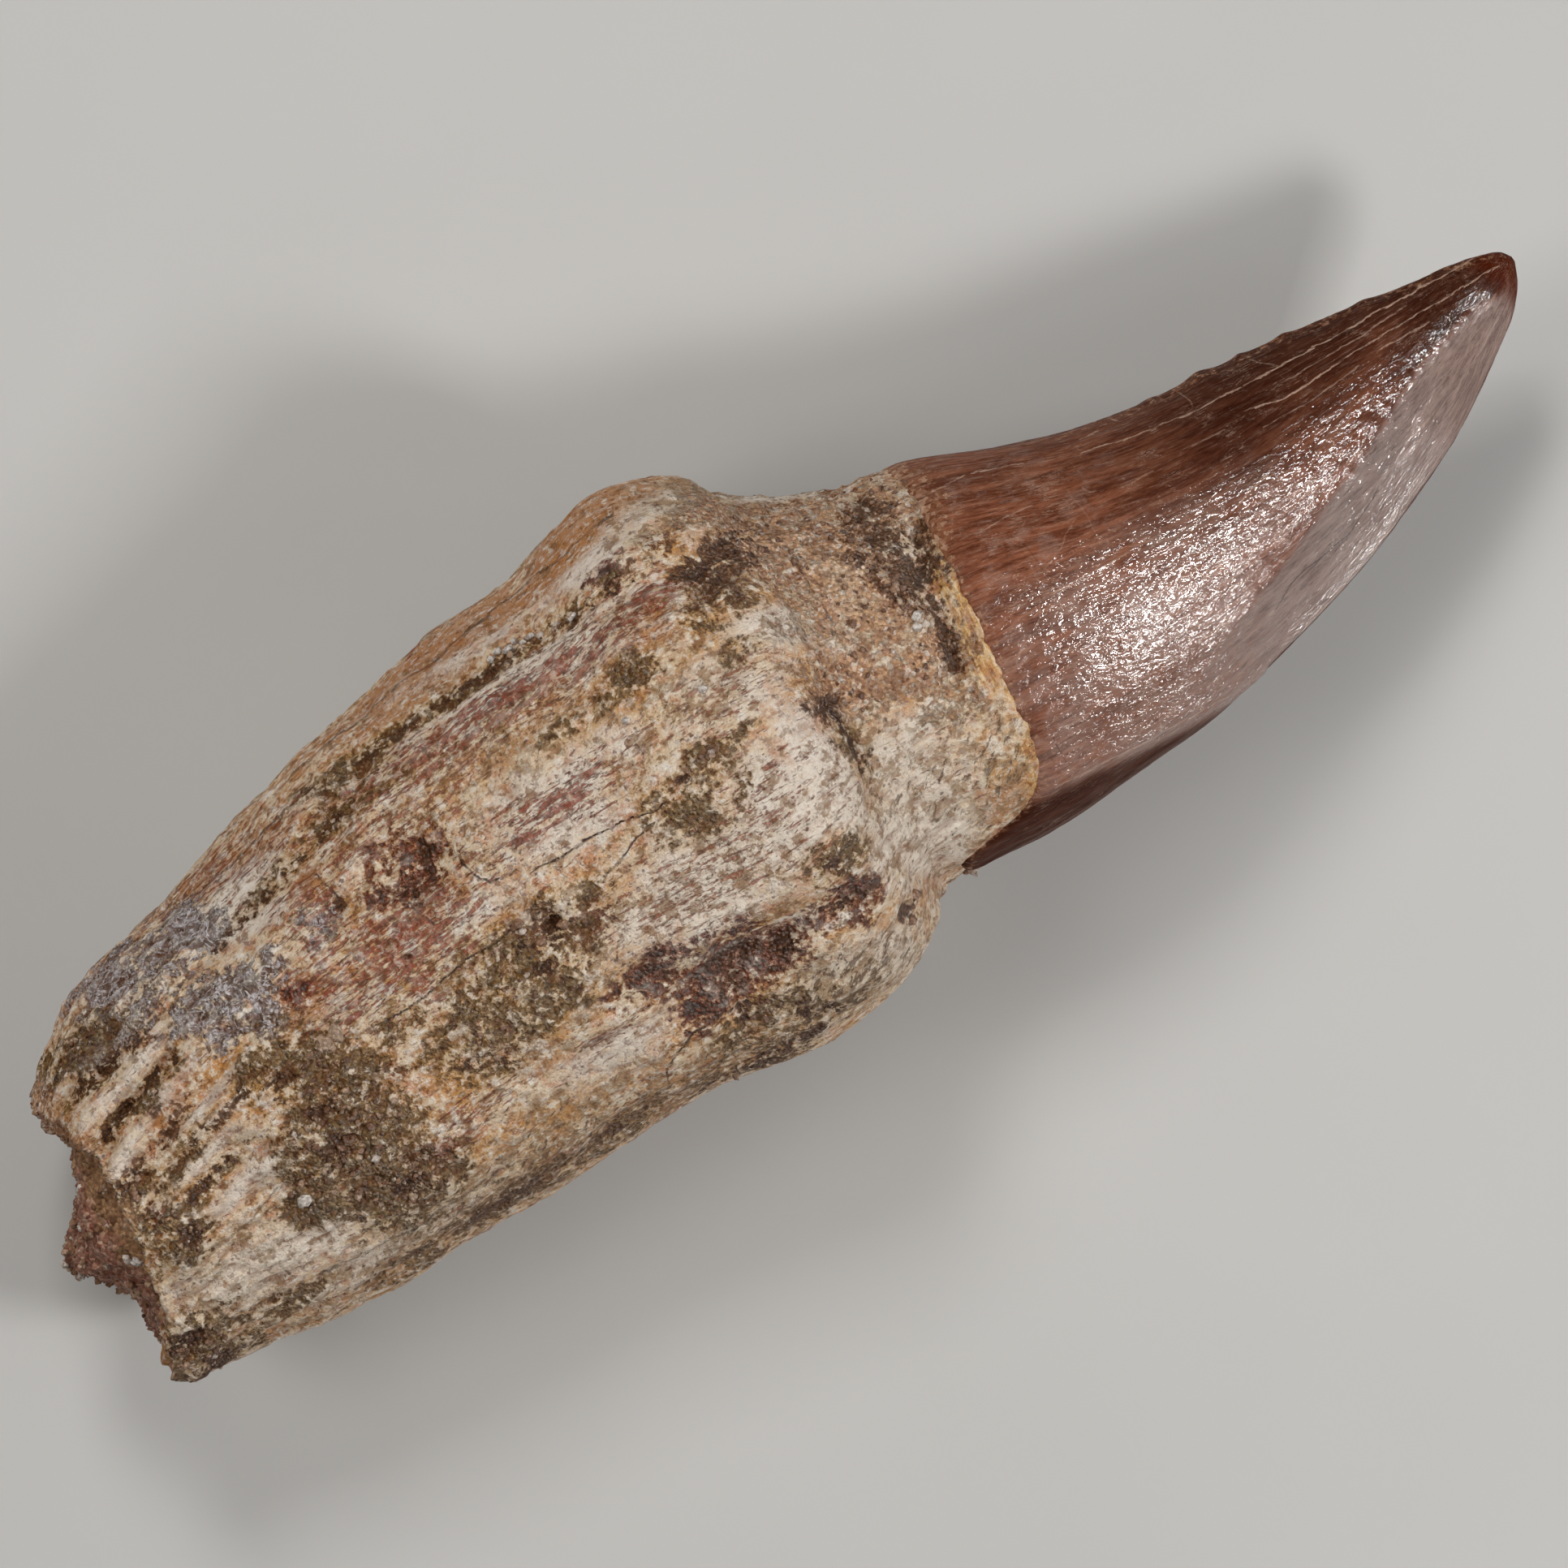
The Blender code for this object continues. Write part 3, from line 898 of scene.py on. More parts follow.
@dataclass(frozen=True)
class BoneFinish:
    """Weathered bone with fibres, flecks, stains and sandy crusts."""

    cream: Colour = tone(226, 201, 170)
    buff: Colour = tone(214, 166, 112)
    tan: Colour = tone(162, 98, 50)
    sienna: Colour = tone(200, 124, 80)
    white: Colour = tone(240, 230, 219)
    fleck: Colour = tone(154, 62, 34)
    umber: Colour = tone(106, 54, 24)
    ochre: Colour = tone(202, 138, 54)
    olive: Colour = tone(176, 132, 58)
    # Near-black of the pits, grooves and crevice: painted shade with dark matter
    pit_shade_and_dirt: Colour = tone(46, 26, 13)
    frost: Colour = tone(222, 220, 226)
    honey: Colour = tone(204, 158, 80)
    hazel: Colour = tone(150, 98, 50)
    fawn: Colour = tone(190, 134, 82)
    drab: Colour = tone(132, 94, 54)
    fibre_dark: Colour = tone(132, 76, 42)
    fibre_pale: Colour = tone(242, 234, 222)
    fleck_dark: Colour = tone(106, 46, 24)
    neck: Colour = tone(204, 178, 132)
    neck_dark: Colour = tone(98, 66, 36)
    pepper: Colour = tone(106, 66, 40)
    salt: Colour = tone(240, 226, 210)
    dot: Colour = tone(104, 60, 36)
    # Painted shade mixed with dirt, for the hollows of the fine relief
    hollow_dirt_and_shade: Colour = tone(126, 72, 36)
    pit_edge: Colour = tone(112, 70, 42)
    crack: Colour = tone(54, 26, 12)
    crust_dust: Colour = tone(178, 148, 112)
    crust_stain: Colour = tone(150, 96, 34)
    sand_dark: Colour = tone(126, 80, 52)
    sand_pale: Colour = tone(230, 198, 162)
    sand_bleached: Colour = tone(226, 202, 170)
    dentine: Ramp = (
        (0.38, tone(236, 212, 176)), (0.47, tone(222, 174, 104)), (0.56, tone(190, 124, 54)),
        (0.66, tone(140, 78, 30)))
    hollow: Ramp = (
        (0.34, tone(202, 118, 70)), (0.5, tone(156, 68, 30)), (0.62, tone(108, 35, 14)),
        (0.76, tone(38, 14, 8)))
    lilac: Ramp = (
        (0.36, tone(58, 38, 29)), (0.46, tone(104, 84, 76)), (0.56, tone(150, 136, 136)))
    crust_grains: Ramp = (
        (0.0, tone(54, 34, 16)), (0.35, tone(106, 76, 38)), (0.65, tone(158, 120, 62)),
        (0.88, tone(206, 176, 124)), (0.98, tone(246, 236, 216)))
    crust_lumps: Ramp = (
        (0.38, tone(204, 164, 98)), (0.48, tone(152, 112, 54)), (0.57, tone(96, 62, 30)),
        (0.7, tone(38, 23, 13)))
    sand_grains: Ramp = (
        (0.0, tone(140, 94, 68)), (0.3, tone(188, 142, 112)), (0.65, tone(227, 179, 134)),
        (0.94, tone(252, 242, 232)))

    def material(self) -> bpy.types.Material:
        """Make the material.

        Returns:
            The finish of the root and of the broken bone.
        """
        g = Graph("bone")
        stone = g.places("stone")
        cloud = g.noise(stone, 0.5, 8.0, 0.72, 0.5)
        grain = g.noise(stone, 2.4, 3.0, 0.64)
        edge = g.plus(g.times(cloud, 0.6), g.times(grain, 0.4))
        at = Clouds(stone, cloud, grain, edge)
        colour = self._ground(g, at)
        colour, streak = self._fibres(g, colour, at)
        colour, rust = self._rust(g, colour, at)
        colour, mineral = self._mineral(g, colour, at)
        colour, cover, grit = self._crusts(g, colour, at)
        fine = g.noise(stone, 7.0, 3.0, 0.7)
        quiet = g.band(g.paint("pale"), 0.2, 0.9, 0.9, 0.3)
        colour = g.mix(g.times(g.band(fine, 0.53, 0.7, 0.0, 0.24), quiet), colour, self.pepper)
        colour = g.mix(g.times(g.band(fine, 0.47, 0.32, 0.0, 0.15), quiet), colour, self.salt)
        spot, seed = g.cells(stone, 1.7)
        dots = g.times(g.band(spot, 0.1, 0.24, 1.0, 0.0), g.band(seed, 0.52, 0.6))
        colour = g.stain(colour, dots, 0.7, self.dot)
        # Painted shade with dirt: darker brown in the hollows of the fine relief
        colour = g.stain(colour, g.paint("hollow_dirt_and_shade"), 0.4, self.hollow_dirt_and_shade)
        bare = g.minus(1.0, cover)
        # Paler on the raised ridges of the fine relief: partly wear, partly painted light on the ridges
        colour = g.stain(colour, g.times(g.paint("worn"), bare), 0.3, self.white)
        # Painted shade with dark matter: near-black in the pits, grooves, the crevice and at the foot of the
        # shoulder step
        dark = g.torn(g.paint("dark"), edge, 0.4, 5.5, 0.55)
        deep = g.mix(g.times(dark, g.band(fine, 0.62, 0.46)), self.pit_edge, self.pit_shade_and_dirt)
        colour = g.stain(colour, g.band(dark, 0.0, 0.6), 0.88, deep)
        crack = g.times(g.line("crack", edge, 0.075), g.band(grain, 0.44, 0.58, 1.0, 0.4))
        colour = g.mix(crack, colour, self.crack)
        loose = g.most(g.most(cover, rust), mineral)
        height = g.mix(loose, streak, grit)
        height = g.minus(height, g.times(crack, 0.5))
        rough = g.band(grain, 0.3, 0.7, 0.38, 0.7)
        return g.dress(Base_Color=colour, Roughness=rough, Normal=g.bump(height, 0.19),
                       Specular_IOR_Level=0.2)

    def _ground(self, g: Graph, at: Clouds) -> Socket:
        """Lay the clouds of cream, white, yellow, tan, rose and ochre under the fibres.

        Args:
            g: The shader graph.
            at: Places and shared noises.

        Returns:
            The colour.
        """
        wide = g.noise(g.places("fibre", (0.5, 1.0, 1.0)), 0.3, 7.0, 0.7, 0.4)
        first, second, third = g.noises(at.stone, 0.95, 6.0, 0.66, 0.15)
        colour = g.mix(g.band(at.cloud, 0.46, 0.6), self.cream, self.buff)
        colour = g.mix(g.band(first, 0.52, 0.66, 0.0, 0.7), colour, self.honey)
        colour = g.mix(g.band(second, 0.51, 0.61, 0.0, 0.7), colour, self.sienna)
        colour = g.mix(g.band(third, 0.55, 0.66, 0.0, 0.75), colour, self.hazel)
        colour = g.mix(g.band(third, 0.48, 0.38, 0.0, 0.85), colour, self.white)
        stray = g.plus(g.paint("ochre"), g.times(wide, 0.7))
        ochre = g.torn(stray, at.edge, 0.3, 4.0, 0.82)
        colour = g.stain(colour, ochre, 0.8, self.ochre)
        tan = g.torn(g.paint("tan"), at.edge, 0.35, 4.0)
        brown = g.mix(g.band(at.grain, 0.4, 0.6), self.tan, self.fawn)
        colour = g.stain(colour, tan, 0.85, brown)
        pale = g.torn(g.paint("pale"), at.edge, 0.35, 4.0, 0.55)
        colour = g.stain(colour, pale, 0.86, self.white)
        stain = g.torn(g.paint("crust"), at.edge, 0.4, 5.0, 0.3)
        colour = g.stain(colour, stain, 0.7, self.olive)
        specks = g.band(g.plus(g.times(g.paint("speck"), 0.1), first), 0.55, 0.61)
        return g.stain(colour, specks, 0.75, self.drab)

    def _fibres(self, g: Graph, colour: Socket, at: Clouds) -> tuple[Socket, Socket]:
        """Draw the fibres, flecks and specks and shape them.

        Args:
            g: The shader graph.
            colour: Colour so far.
            at: Places and shared noises.

        Returns:
            The colour and the height.
        """
        thin = g.noise(g.places("fibre", (0.4, 1.2, 1.2)), 2.4, 4.0, 0.66, 0.3)
        colour = g.mix(g.band(thin, 0.52, 0.68, 0.0, 0.6), colour, self.tan)
        colour = g.mix(g.band(thin, 0.46, 0.32, 0.0, 0.45), colour, self.white)
        quiet = g.band(g.paint("pale"), 0.2, 0.9, 0.48, 0.2)
        colour = g.mix(g.times(g.band(at.grain, 0.54, 0.68), quiet), colour, self.fibre_dark)
        colour = g.mix(g.times(g.band(at.grain, 0.47, 0.36), quiet), colour, self.fibre_pale)
        red = g.paint("red")
        flecks = self._dashes(g, (0.3, 1.5, 1.5), 2.0, red, 0.22, 0.64)
        small = self._dashes(g, (0.6, 1.9, 1.9), 3.4, red, 0.2, 0.64)
        long = self._dashes(g, (0.26, 3.2, 3.2), 1.8, red, 0.2, 0.69)
        flecks = g.most(flecks, g.most(small, long))
        flecks = g.times(flecks, g.band(at.grain, 0.38, 0.5, 0.5, 1.0))
        tint = g.mix(g.band(at.grain, 0.47, 0.62), self.fleck, self.fleck_dark)
        colour = g.stain(colour, flecks, 0.85, tint)
        turned = g.turned(at.stone, -38.0, (0.9, 2.6, 1.6))
        slant = g.noise(turned, 1.3, 5.0, 0.7)
        specks = g.plus(g.times(g.paint("speck"), 0.2), slant)
        specks = g.band(specks, 0.7, 0.78)
        colour = g.stain(colour, g.paint("speck"), 0.3, self.neck)
        colour = g.stain(colour, specks, 0.8, self.neck_dark)
        band = g.torn(g.paint("dentine"), slant, 0.3, 1.6)
        across = g.noise(g.turned(at.stone, 6.0, (2.4, 0.5, 1.0)), 1.3, 5.0, 0.7)
        warm = g.ramp(across, self.dentine)
        colour = g.stain(colour, band, 0.92, warm)
        plain = g.minus(0.9, g.times(g.paint("speck"), 0.8), True)
        height = g.plus(g.times(g.times(thin, plain), -1.0), g.times(at.grain, -1.3))
        height = g.plus(height, g.times(at.cloud, 0.8))
        dents = g.times(g.most(flecks, specks), 0.3)
        return colour, g.minus(height, dents)

    @staticmethod
    def _dashes(g: Graph, stretch: Triple, scale: float, density: Socket, gain: float,
                level: float) -> Socket:
        """Scatter short dashes along the fibres, more of them where density is high.

        Args:
            g: The shader graph.
            stretch: Stretch of the places.
            scale: Waves for each mm.
            density: Where there are more.
            gain: How much density counts.
            level: Noise level that they start from.

        Returns:
            One on the dashes.
        """
        noise = g.noise(g.places("fibre", stretch), scale, 5.0, 0.66, 0.3)
        whole = g.plus(g.times(density, gain), noise)
        return g.band(whole, level, level + 0.045)

    def _rust(self, g: Graph, colour: Socket, at: Clouds) -> tuple[Socket, Socket]:
        """Lay the red-brown rough stain of the hollows.

        Args:
            g: The shader graph.
            colour: Colour so far.
            at: Places and shared noises.

        Returns:
            The colour and the cover.
        """
        deep = g.depth("rust", at.edge, 6.5)
        rust = g.band(deep, 0.3, 0.8)
        tint = g.ramp(g.plus(g.times(deep, 0.62), g.times(at.grain, 0.3)), self.hollow)
        return g.stain(colour, rust, 0.92, tint), rust

    def _mineral(self, g: Graph, colour: Socket, at: Clouds) -> tuple[Socket, Socket]:
        """Lay the lilac mineral with its white lace.

        Args:
            g: The shader graph.
            colour: Colour so far.
            at: Places and shared noises.

        Returns:
            The colour and the cover.
        """
        cover = g.band(g.depth("mineral", at.edge, 7.0), 0.3, 0.8)
        lace = g.noise(at.stone, 0.85, 4.0, 0.62, 1.2)
        ridge = g.band(g.math("ABSOLUTE", g.minus(lace, 0.5)), 0.005, 0.04, 1.0, 0.0)
        second = g.noise(at.stone, 1.7, 4.0, 0.66, 0.8)
        ridge = g.most(ridge, g.band(second, 0.57, 0.64))
        base = g.ramp(second, self.lilac)
        base = g.stain(base, ridge, 0.9, self.frost)
        return g.stain(colour, cover, 0.9, base), cover

    def _crusts(self, g: Graph, colour: Socket, at: Clouds) -> tuple[Socket, Socket, Socket]:
        """Lay the olive crust and the pinkish sand coat.

        Args:
            g: The shader graph.
            colour: Colour so far.
            at: Places and shared noises.

        Returns:
            The colour, the cover and the height.
        """
        gap, seed = g.cells(at.stone, 3.8)
        olive = g.ramp(seed, self.crust_grains)
        deep = g.depth("crust", at.edge, 8.5)
        lump, hue, _ = g.noises(at.stone, 1.5, 5.0, 0.68, 0.2)
        low = g.plus(g.times(deep, 0.4), g.times(lump, 0.6))
        base = g.ramp(low, self.crust_lumps)
        base = g.mix(g.band(hue, 0.52, 0.62, 0.0, 0.6), base, self.crust_dust)
        base = g.mix(g.band(hue, 0.45, 0.36, 0.0, 0.6), base, self.crust_stain)
        olive = g.mix(0.36, base, olive)
        crust = g.band(deep, 0.28, 0.95)
        colour = g.stain(colour, crust, 0.88, olive)
        _, seed = g.cells(at.stone, 4.4)
        sandy = g.ramp(seed, self.sand_grains)
        sandy = g.mix(g.band(at.cloud, 0.51, 0.62, 0.0, 0.6), sandy, self.sand_dark)
        sandy = g.mix(g.band(at.cloud, 0.45, 0.34, 0.0, 0.6), sandy, self.sand_pale)
        sandy = g.mix(g.band(g.paint("pale"), 0.2, 0.8, 0.0, 0.5), sandy, self.sand_bleached)
        sand = g.torn(g.paint("sand"), at.edge, 0.25, 4.5, 0.52)
        colour = g.stain(colour, sand, 0.9, sandy)
        colour = g.mix(g.band(at.grain, 0.55, 0.68, 0.0, 0.42), colour, self.umber)
        grit = g.minus(g.times(at.grain, -1.0), g.times(gap, 1.5))
        return colour, g.most(crust, sand), grit


@dataclass(frozen=True)
class EnamelFinish:
    """Glossy brown enamel with fine crinkled ridges."""

    brown: Colour = tone(151, 94, 69)
    deep: Colour = tone(106, 59, 40)
    dark: Colour = tone(42, 12, 3)
    # Rosy grey of the painted sheen on the lower side of the crown
    rose: Colour = tone(160, 132, 122)
    # Mauve-grey painted sheen of the flat strip along the lower edge
    strip_sheen: Colour = tone(140, 120, 114)
    amber: Colour = tone(84, 28, 4)
    thread: Colour = tone(214, 184, 164)
    strip_sheen_pale: Colour = tone(166, 147, 140)
    # Colour of the painted sheen over the lower side of the crown
    under: Colour = tone(144, 104, 87)
    score: Colour = tone(34, 18, 11)
    strand: Colour = tone(210, 178, 158)
    dust: Ramp = (
        (0.0, tone(104, 60, 38)), (0.5, tone(152, 104, 76)), (0.95, tone(214, 180, 152)))

    def material(self) -> bpy.types.Material:
        """Make the material.

        Returns:
            The finish of the crown.
        """
        g = Graph("enamel")
        stone = g.places("stone")
        long = g.noise(g.places("fibre", (0.1, 1.0, 1.0)), 1.6, 7.0, 0.75, 0.2)
        thin = g.noise(g.places("fibre", (0.24, 1.6, 1.6)), 3.0, 6.0, 0.78, 0.3)
        cloud = g.noise(stone, 0.4, 7.0, 0.7, 0.3)
        colour = g.mix(g.band(long, 0.38, 0.6), self.brown, self.deep)
        # Painted sheen: rosy grey over the lower side, towards the base
        rose = g.times(g.paint("rose"), g.band(cloud, 0.36, 0.56, 0.2, 0.9))
        colour = g.mix(rose, colour, self.rose)
        # Pale rosy patches on the base of the upper face: rosy tint with painted sheen
        veil = g.band(g.noise(stone, 0.8, 7.0, 0.72), 0.5, 0.62, 0.0, 0.28)
        colour = g.mix(g.times(veil, g.paint("veil")), colour, self.rose)
        colour = g.stain(colour, g.paint("shade"), 0.78, self.dark)
        # Painted sheen: mauve-grey over the flat strip along the lower edge
        strip_sheen = g.mix(g.band(long, 0.4, 0.6), self.strip_sheen_pale, self.strip_sheen)
        # Painted sheen: lighter mauve-brown over the lower side of the crown
        colour = g.stain(colour, g.paint("low"), 0.5, self.under)
        colour = g.stain(colour, g.paint("strip"), 0.85, strip_sheen)
        colour = g.mix(g.paint("amber"), colour, self.amber)
        _, grit = g.cells(stone, 4.0)
        dust = g.torn(g.paint("dust"), g.noise(stone, 2.0, 6.0, 0.72), 0.25, 4.0)
        sand = g.ramp(grit, self.dust)
        colour = g.stain(colour, dust, 0.75, sand)
        bright = g.minus(0.6, g.times(g.paint("shade"), 0.4))
        colour = g.mix(g.times(g.band(thin, 0.52, 0.64), bright), colour, g.mix(0.35, colour, self.thread))
        colour = g.mix(g.band(thin, 0.48, 0.36, 0.0, 0.5), colour, self.dark)
        colour = g.stain(colour, self._hairs(g, cloud), 0.55, self.thread)
        score = g.line("score", g.band(cloud, 0.3, 0.7, 0.42, 0.58), 0.05)
        colour = g.stain(colour, score, 0.7, self.score)
        breaks = g.band(thin, 0.42, 0.54, 0.15, 1.0)
        wander = g.plus(g.times(cloud, 0.7), g.times(thin, 0.3))
        # Pale crack lines; the one along the lower edge is a painted highlight
        thread = g.times(g.line("thread", wander, 0.055), breaks)
        colour = g.stain(colour, thread, 0.85, self.strand)
        wrinkle = g.noise(g.places("fibre", (0.85, 2.3, 2.3)), 1.15, 1.8, 0.5, 0.8)
        calm = g.plus(g.times(g.paint("strip"), 0.5), g.times(g.paint("shade"), 0.5))
        height = g.times(wrinkle, g.minus(1.0, calm, True))
        rough = g.band(long, 0.35, 0.65, 0.3, 0.45)
        polish = g.times(g.paint("gloss"), g.band(cloud, 0.36, 0.5, 0.5, 1.0))
        crinkle = g.noise(g.places("fibre", (1.1, 2.1, 2.1)), 1.4, 2.5, 0.55, 0.6)
        polish = g.most(polish, g.paint("glint"))
        return g.dress(Base_Color=colour, Roughness=rough, Normal=g.bump(height, 0.12),
                       Specular_IOR_Level=0.02, Coat_Weight=polish, Coat_Roughness=0.06, Coat_IOR=1.5,
                       Coat_Normal=g.bump(crinkle, 0.21))

    @staticmethod
    def _hairs(g: Graph, cloud: Socket) -> Socket:
        """Draw fine pale hair cracks along the crown, in patches.

        Args:
            g: The shader graph.
            cloud: Noise that parts them into patches.

        Returns:
            One on the hairs.
        """
        lines = None
        for stretch, scale, part in (((0.09, 1.1, 1.1), 1.1, 0.0), ((0.2, 1.0, 1.0), 1.7, 0.3)):
            vein = g.noise(g.places("fibre", stretch), scale, 5.0, 0.62, 0.4 + part)
            away = g.math("ABSOLUTE", g.minus(vein, 0.5))
            line = g.band(away, 0.0, 0.008, 1.0, 0.0)
            lines = line if lines is None else g.most(lines, line)
        return g.times(lines, g.band(cloud, 0.48, 0.6, 0.0, 0.9))


@dataclass(frozen=True)
class GrainFinish:
    """Loose sand grains of many tones."""

    shadow: Colour = tone(110, 66, 46)
    blush: Colour = tone(196, 140, 112)
    ochre_dark: Colour = tone(120, 82, 46)
    ochre_pale: Colour = tone(206, 164, 112)
    spot: Colour = tone(92, 54, 36)
    bare: Ramp = (
        (0.0, tone(112, 76, 50)), (0.3, tone(148, 108, 78)), (0.6, tone(180, 142, 112)),
        (0.88, tone(210, 182, 156)), (0.99, tone(244, 236, 228)))
    coated: Ramp = (
        (0.0, tone(96, 54, 38)), (0.3, tone(150, 92, 70)), (0.62, tone(184, 132, 108)),
        (0.88, tone(214, 174, 150)), (0.99, tone(244, 230, 220)))

    def material(self) -> bpy.types.Material:
        """Make the material.

        Returns:
            The finish of the grains and of the plug.
        """
        g = Graph("matrix")
        stone = g.places("stone")
        seed = g.paint("tone")
        colour = g.ramp(seed, self.bare)
        mottle = g.noise(stone, 3.0, 6.0, 0.68)
        broad = g.noise(stone, 0.7, 5.0, 0.65)
        gap, seed = g.cells(stone, 3.6)
        coat = g.ramp(seed, self.coated)
        coat = g.mix(g.band(broad, 0.5, 0.62, 0.0, 0.7), coat, self.shadow)
        coat = g.mix(g.band(broad, 0.44, 0.34, 0.0, 0.5), coat, self.blush)
        coat = g.stain(coat, g.torn(g.paint("ochre"), broad, 0.2, 4.0), 0.7,
                       g.mix(seed, self.ochre_dark, self.ochre_pale))
        colour = g.mix(g.paint("coat"), colour, coat)
        colour = g.mix(g.band(mottle, 0.42, 0.6, 0.0, 0.55), colour, self.spot)
        rough = g.band(mottle, 0.3, 0.7, 0.35, 0.75)
        height = g.minus(mottle, g.times(gap, 1.2))
        return g.dress(Base_Color=colour, Roughness=rough, Normal=g.bump(height, 0.16),
                       Specular_IOR_Level=0.35)


@dataclass
class Root:
    """The swollen bony root, the neck and what is stuck to them."""

    rings: int = 226
    count: int = 400
    tuck: float = 0.9
    noise: StoneNoise = field(default_factory=lambda: StoneNoise(11))
    crust: tuple[Patch, ...] = patches(
        (-27.3, -4.8, 1.2, 1.8, 0.85), (-27.8, -9.4, 1.6, 1.9, 1.05), (-15.8, -5.4, 1.3, 1.2, 0.75),
        (-30, -2.2, 2.9, 2.7, 0.9), (-29.9, -5.8, 3.3, 3.2), (-29.4, -9.2, 2.8, 2.3),
        (-33.6, -7.4, 1.8, 1.5, 0.85), (-43, -11.6, 2.4, 1.7), (-42, -4.8, 2.4, 1.7, 0.66),
        (-40, -6.2, 1.2, 1), (-43.8, -6, 2, 1.2, 0.7), (-41.4, -2.5, 1.8, 0.7), (-21.2, -5, 2.5, 2.1, 0.8),
        (-18.2, -4.2, 3.2, 2.1, 0.7), (-16.4, -1.6, 3, 0.8, 0.85), (-14.6, -3.4, 1.6, 1.4, 0.75),
        (-26.8, -9.8, 1.6, 1.2, 0.7), (-8.4, -12.4, 2.6, 0.9, 0.75), (-5.2, -0.9, 2.7, 1.5, 0.68),
        (-4, 0.8, 2.6, 0.6, 0.75), (-4.4, 6.3, 3, 0.9, 0.52), (-8, 6, 3, 0.7, 0.42),
        (1.4, 7.8, 2, 1.9, 0.9), (-0.8, -7, 1.4, 1, 0.8), (-20.4, 10, 2.2, 1, 0.72),
        (-18.2, 8.4, 1.4, 0.5, 0.7), (-39.4, 5.2, 3.2, 1, 0.85), (-5.5, -13.7, 3, 0.8, 0.62),
        (-24, -13.6, 12, 0.8, 0.5), (-9, -14.2, 5, 0.9, 0.65), (0.5, 4.2, 1, 0.8, 0.55),
        (-38.6, -4.6, 1.4, 0.5, 0.8, 20), (-35.6, -3.8, 1.8, 0.4, 0.75, 10), (-24.6, -2.6, 2, 0.8, 0.55),
        (-12.6, -2.2, 1.6, 1, 0.55), (3, -2.4, 0.8, 1.8, 0.75), (-38, 1.4, 2.6, 0.6, 0.85, 12),
        (-40, 3.5, 2.6, 0.5, 0.6, 6), (-38.6, -2.4, 2.6, 0.7, 0.6, 15), (-26, 7.6, 3.4, 0.5, 0.62, 12),
        (-10.5, 10.8, 10, 0.5, 0.65), (-22, 8.4, 2, 0.6, 0.75), (-38, -12, 2.4, 0.6, 0.6))
    sand: tuple[Patch, ...] = patches(
        (8, 4.9, 4, 5), (4.6, 0.2, 2.3, 1.9), (4.4, 8.8, 2.6, 2.8), (9.2, -1, 2, 1.6),
        (3, 11.2, 2, 1.2, 0.7), (-43.8, -2.6, 1.8, 3.2, 0.9), (8.8, -3.4, 1.6, 1.2, 0.6),
        (11.4, 7, 2.2, 2.4, 0.9), (12.6, 5.2, 1, 1.6, 0.9), (-44.2, 4.4, 1.2, 1.2, 0.8))
    speck: tuple[Patch, ...] = patches(
        (5.2, -7, 4.4, 4.4, 0.65), (9.5, -7.5, 2.8, 3.4, 0.8), (-3, -12.8, 4.5, 1.8, 1),
        (-38, -9, 6, 2.4, 0.5), (-24, -12.6, 14, 1.6, 0.8), (2, 12.4, 3, 1.4, 0.7), (-2.5, 4, 4, 2, 0.6),
        (-6, -4.6, 6, 3, 0.45), (-20, -11.4, 6, 1.8, 0.6), (-12, 6.2, 7, 1.6, 0.6), (-15, -5, 6, 4, 0.5))
    dentine: tuple[Patch, ...] = patches(
        (12.1, 1.3, 0.85, 2.6, 1.2, -8), (11.5, -2, 0.95, 2.2, 1.2, -6), (11.2, -9, 0.55, 1.9, 0.95, 6),
        (10.4, -9.6, 0.8, 0.9, 0.8), (11.6, -5.8, 0.35, 2.4, 0.8))
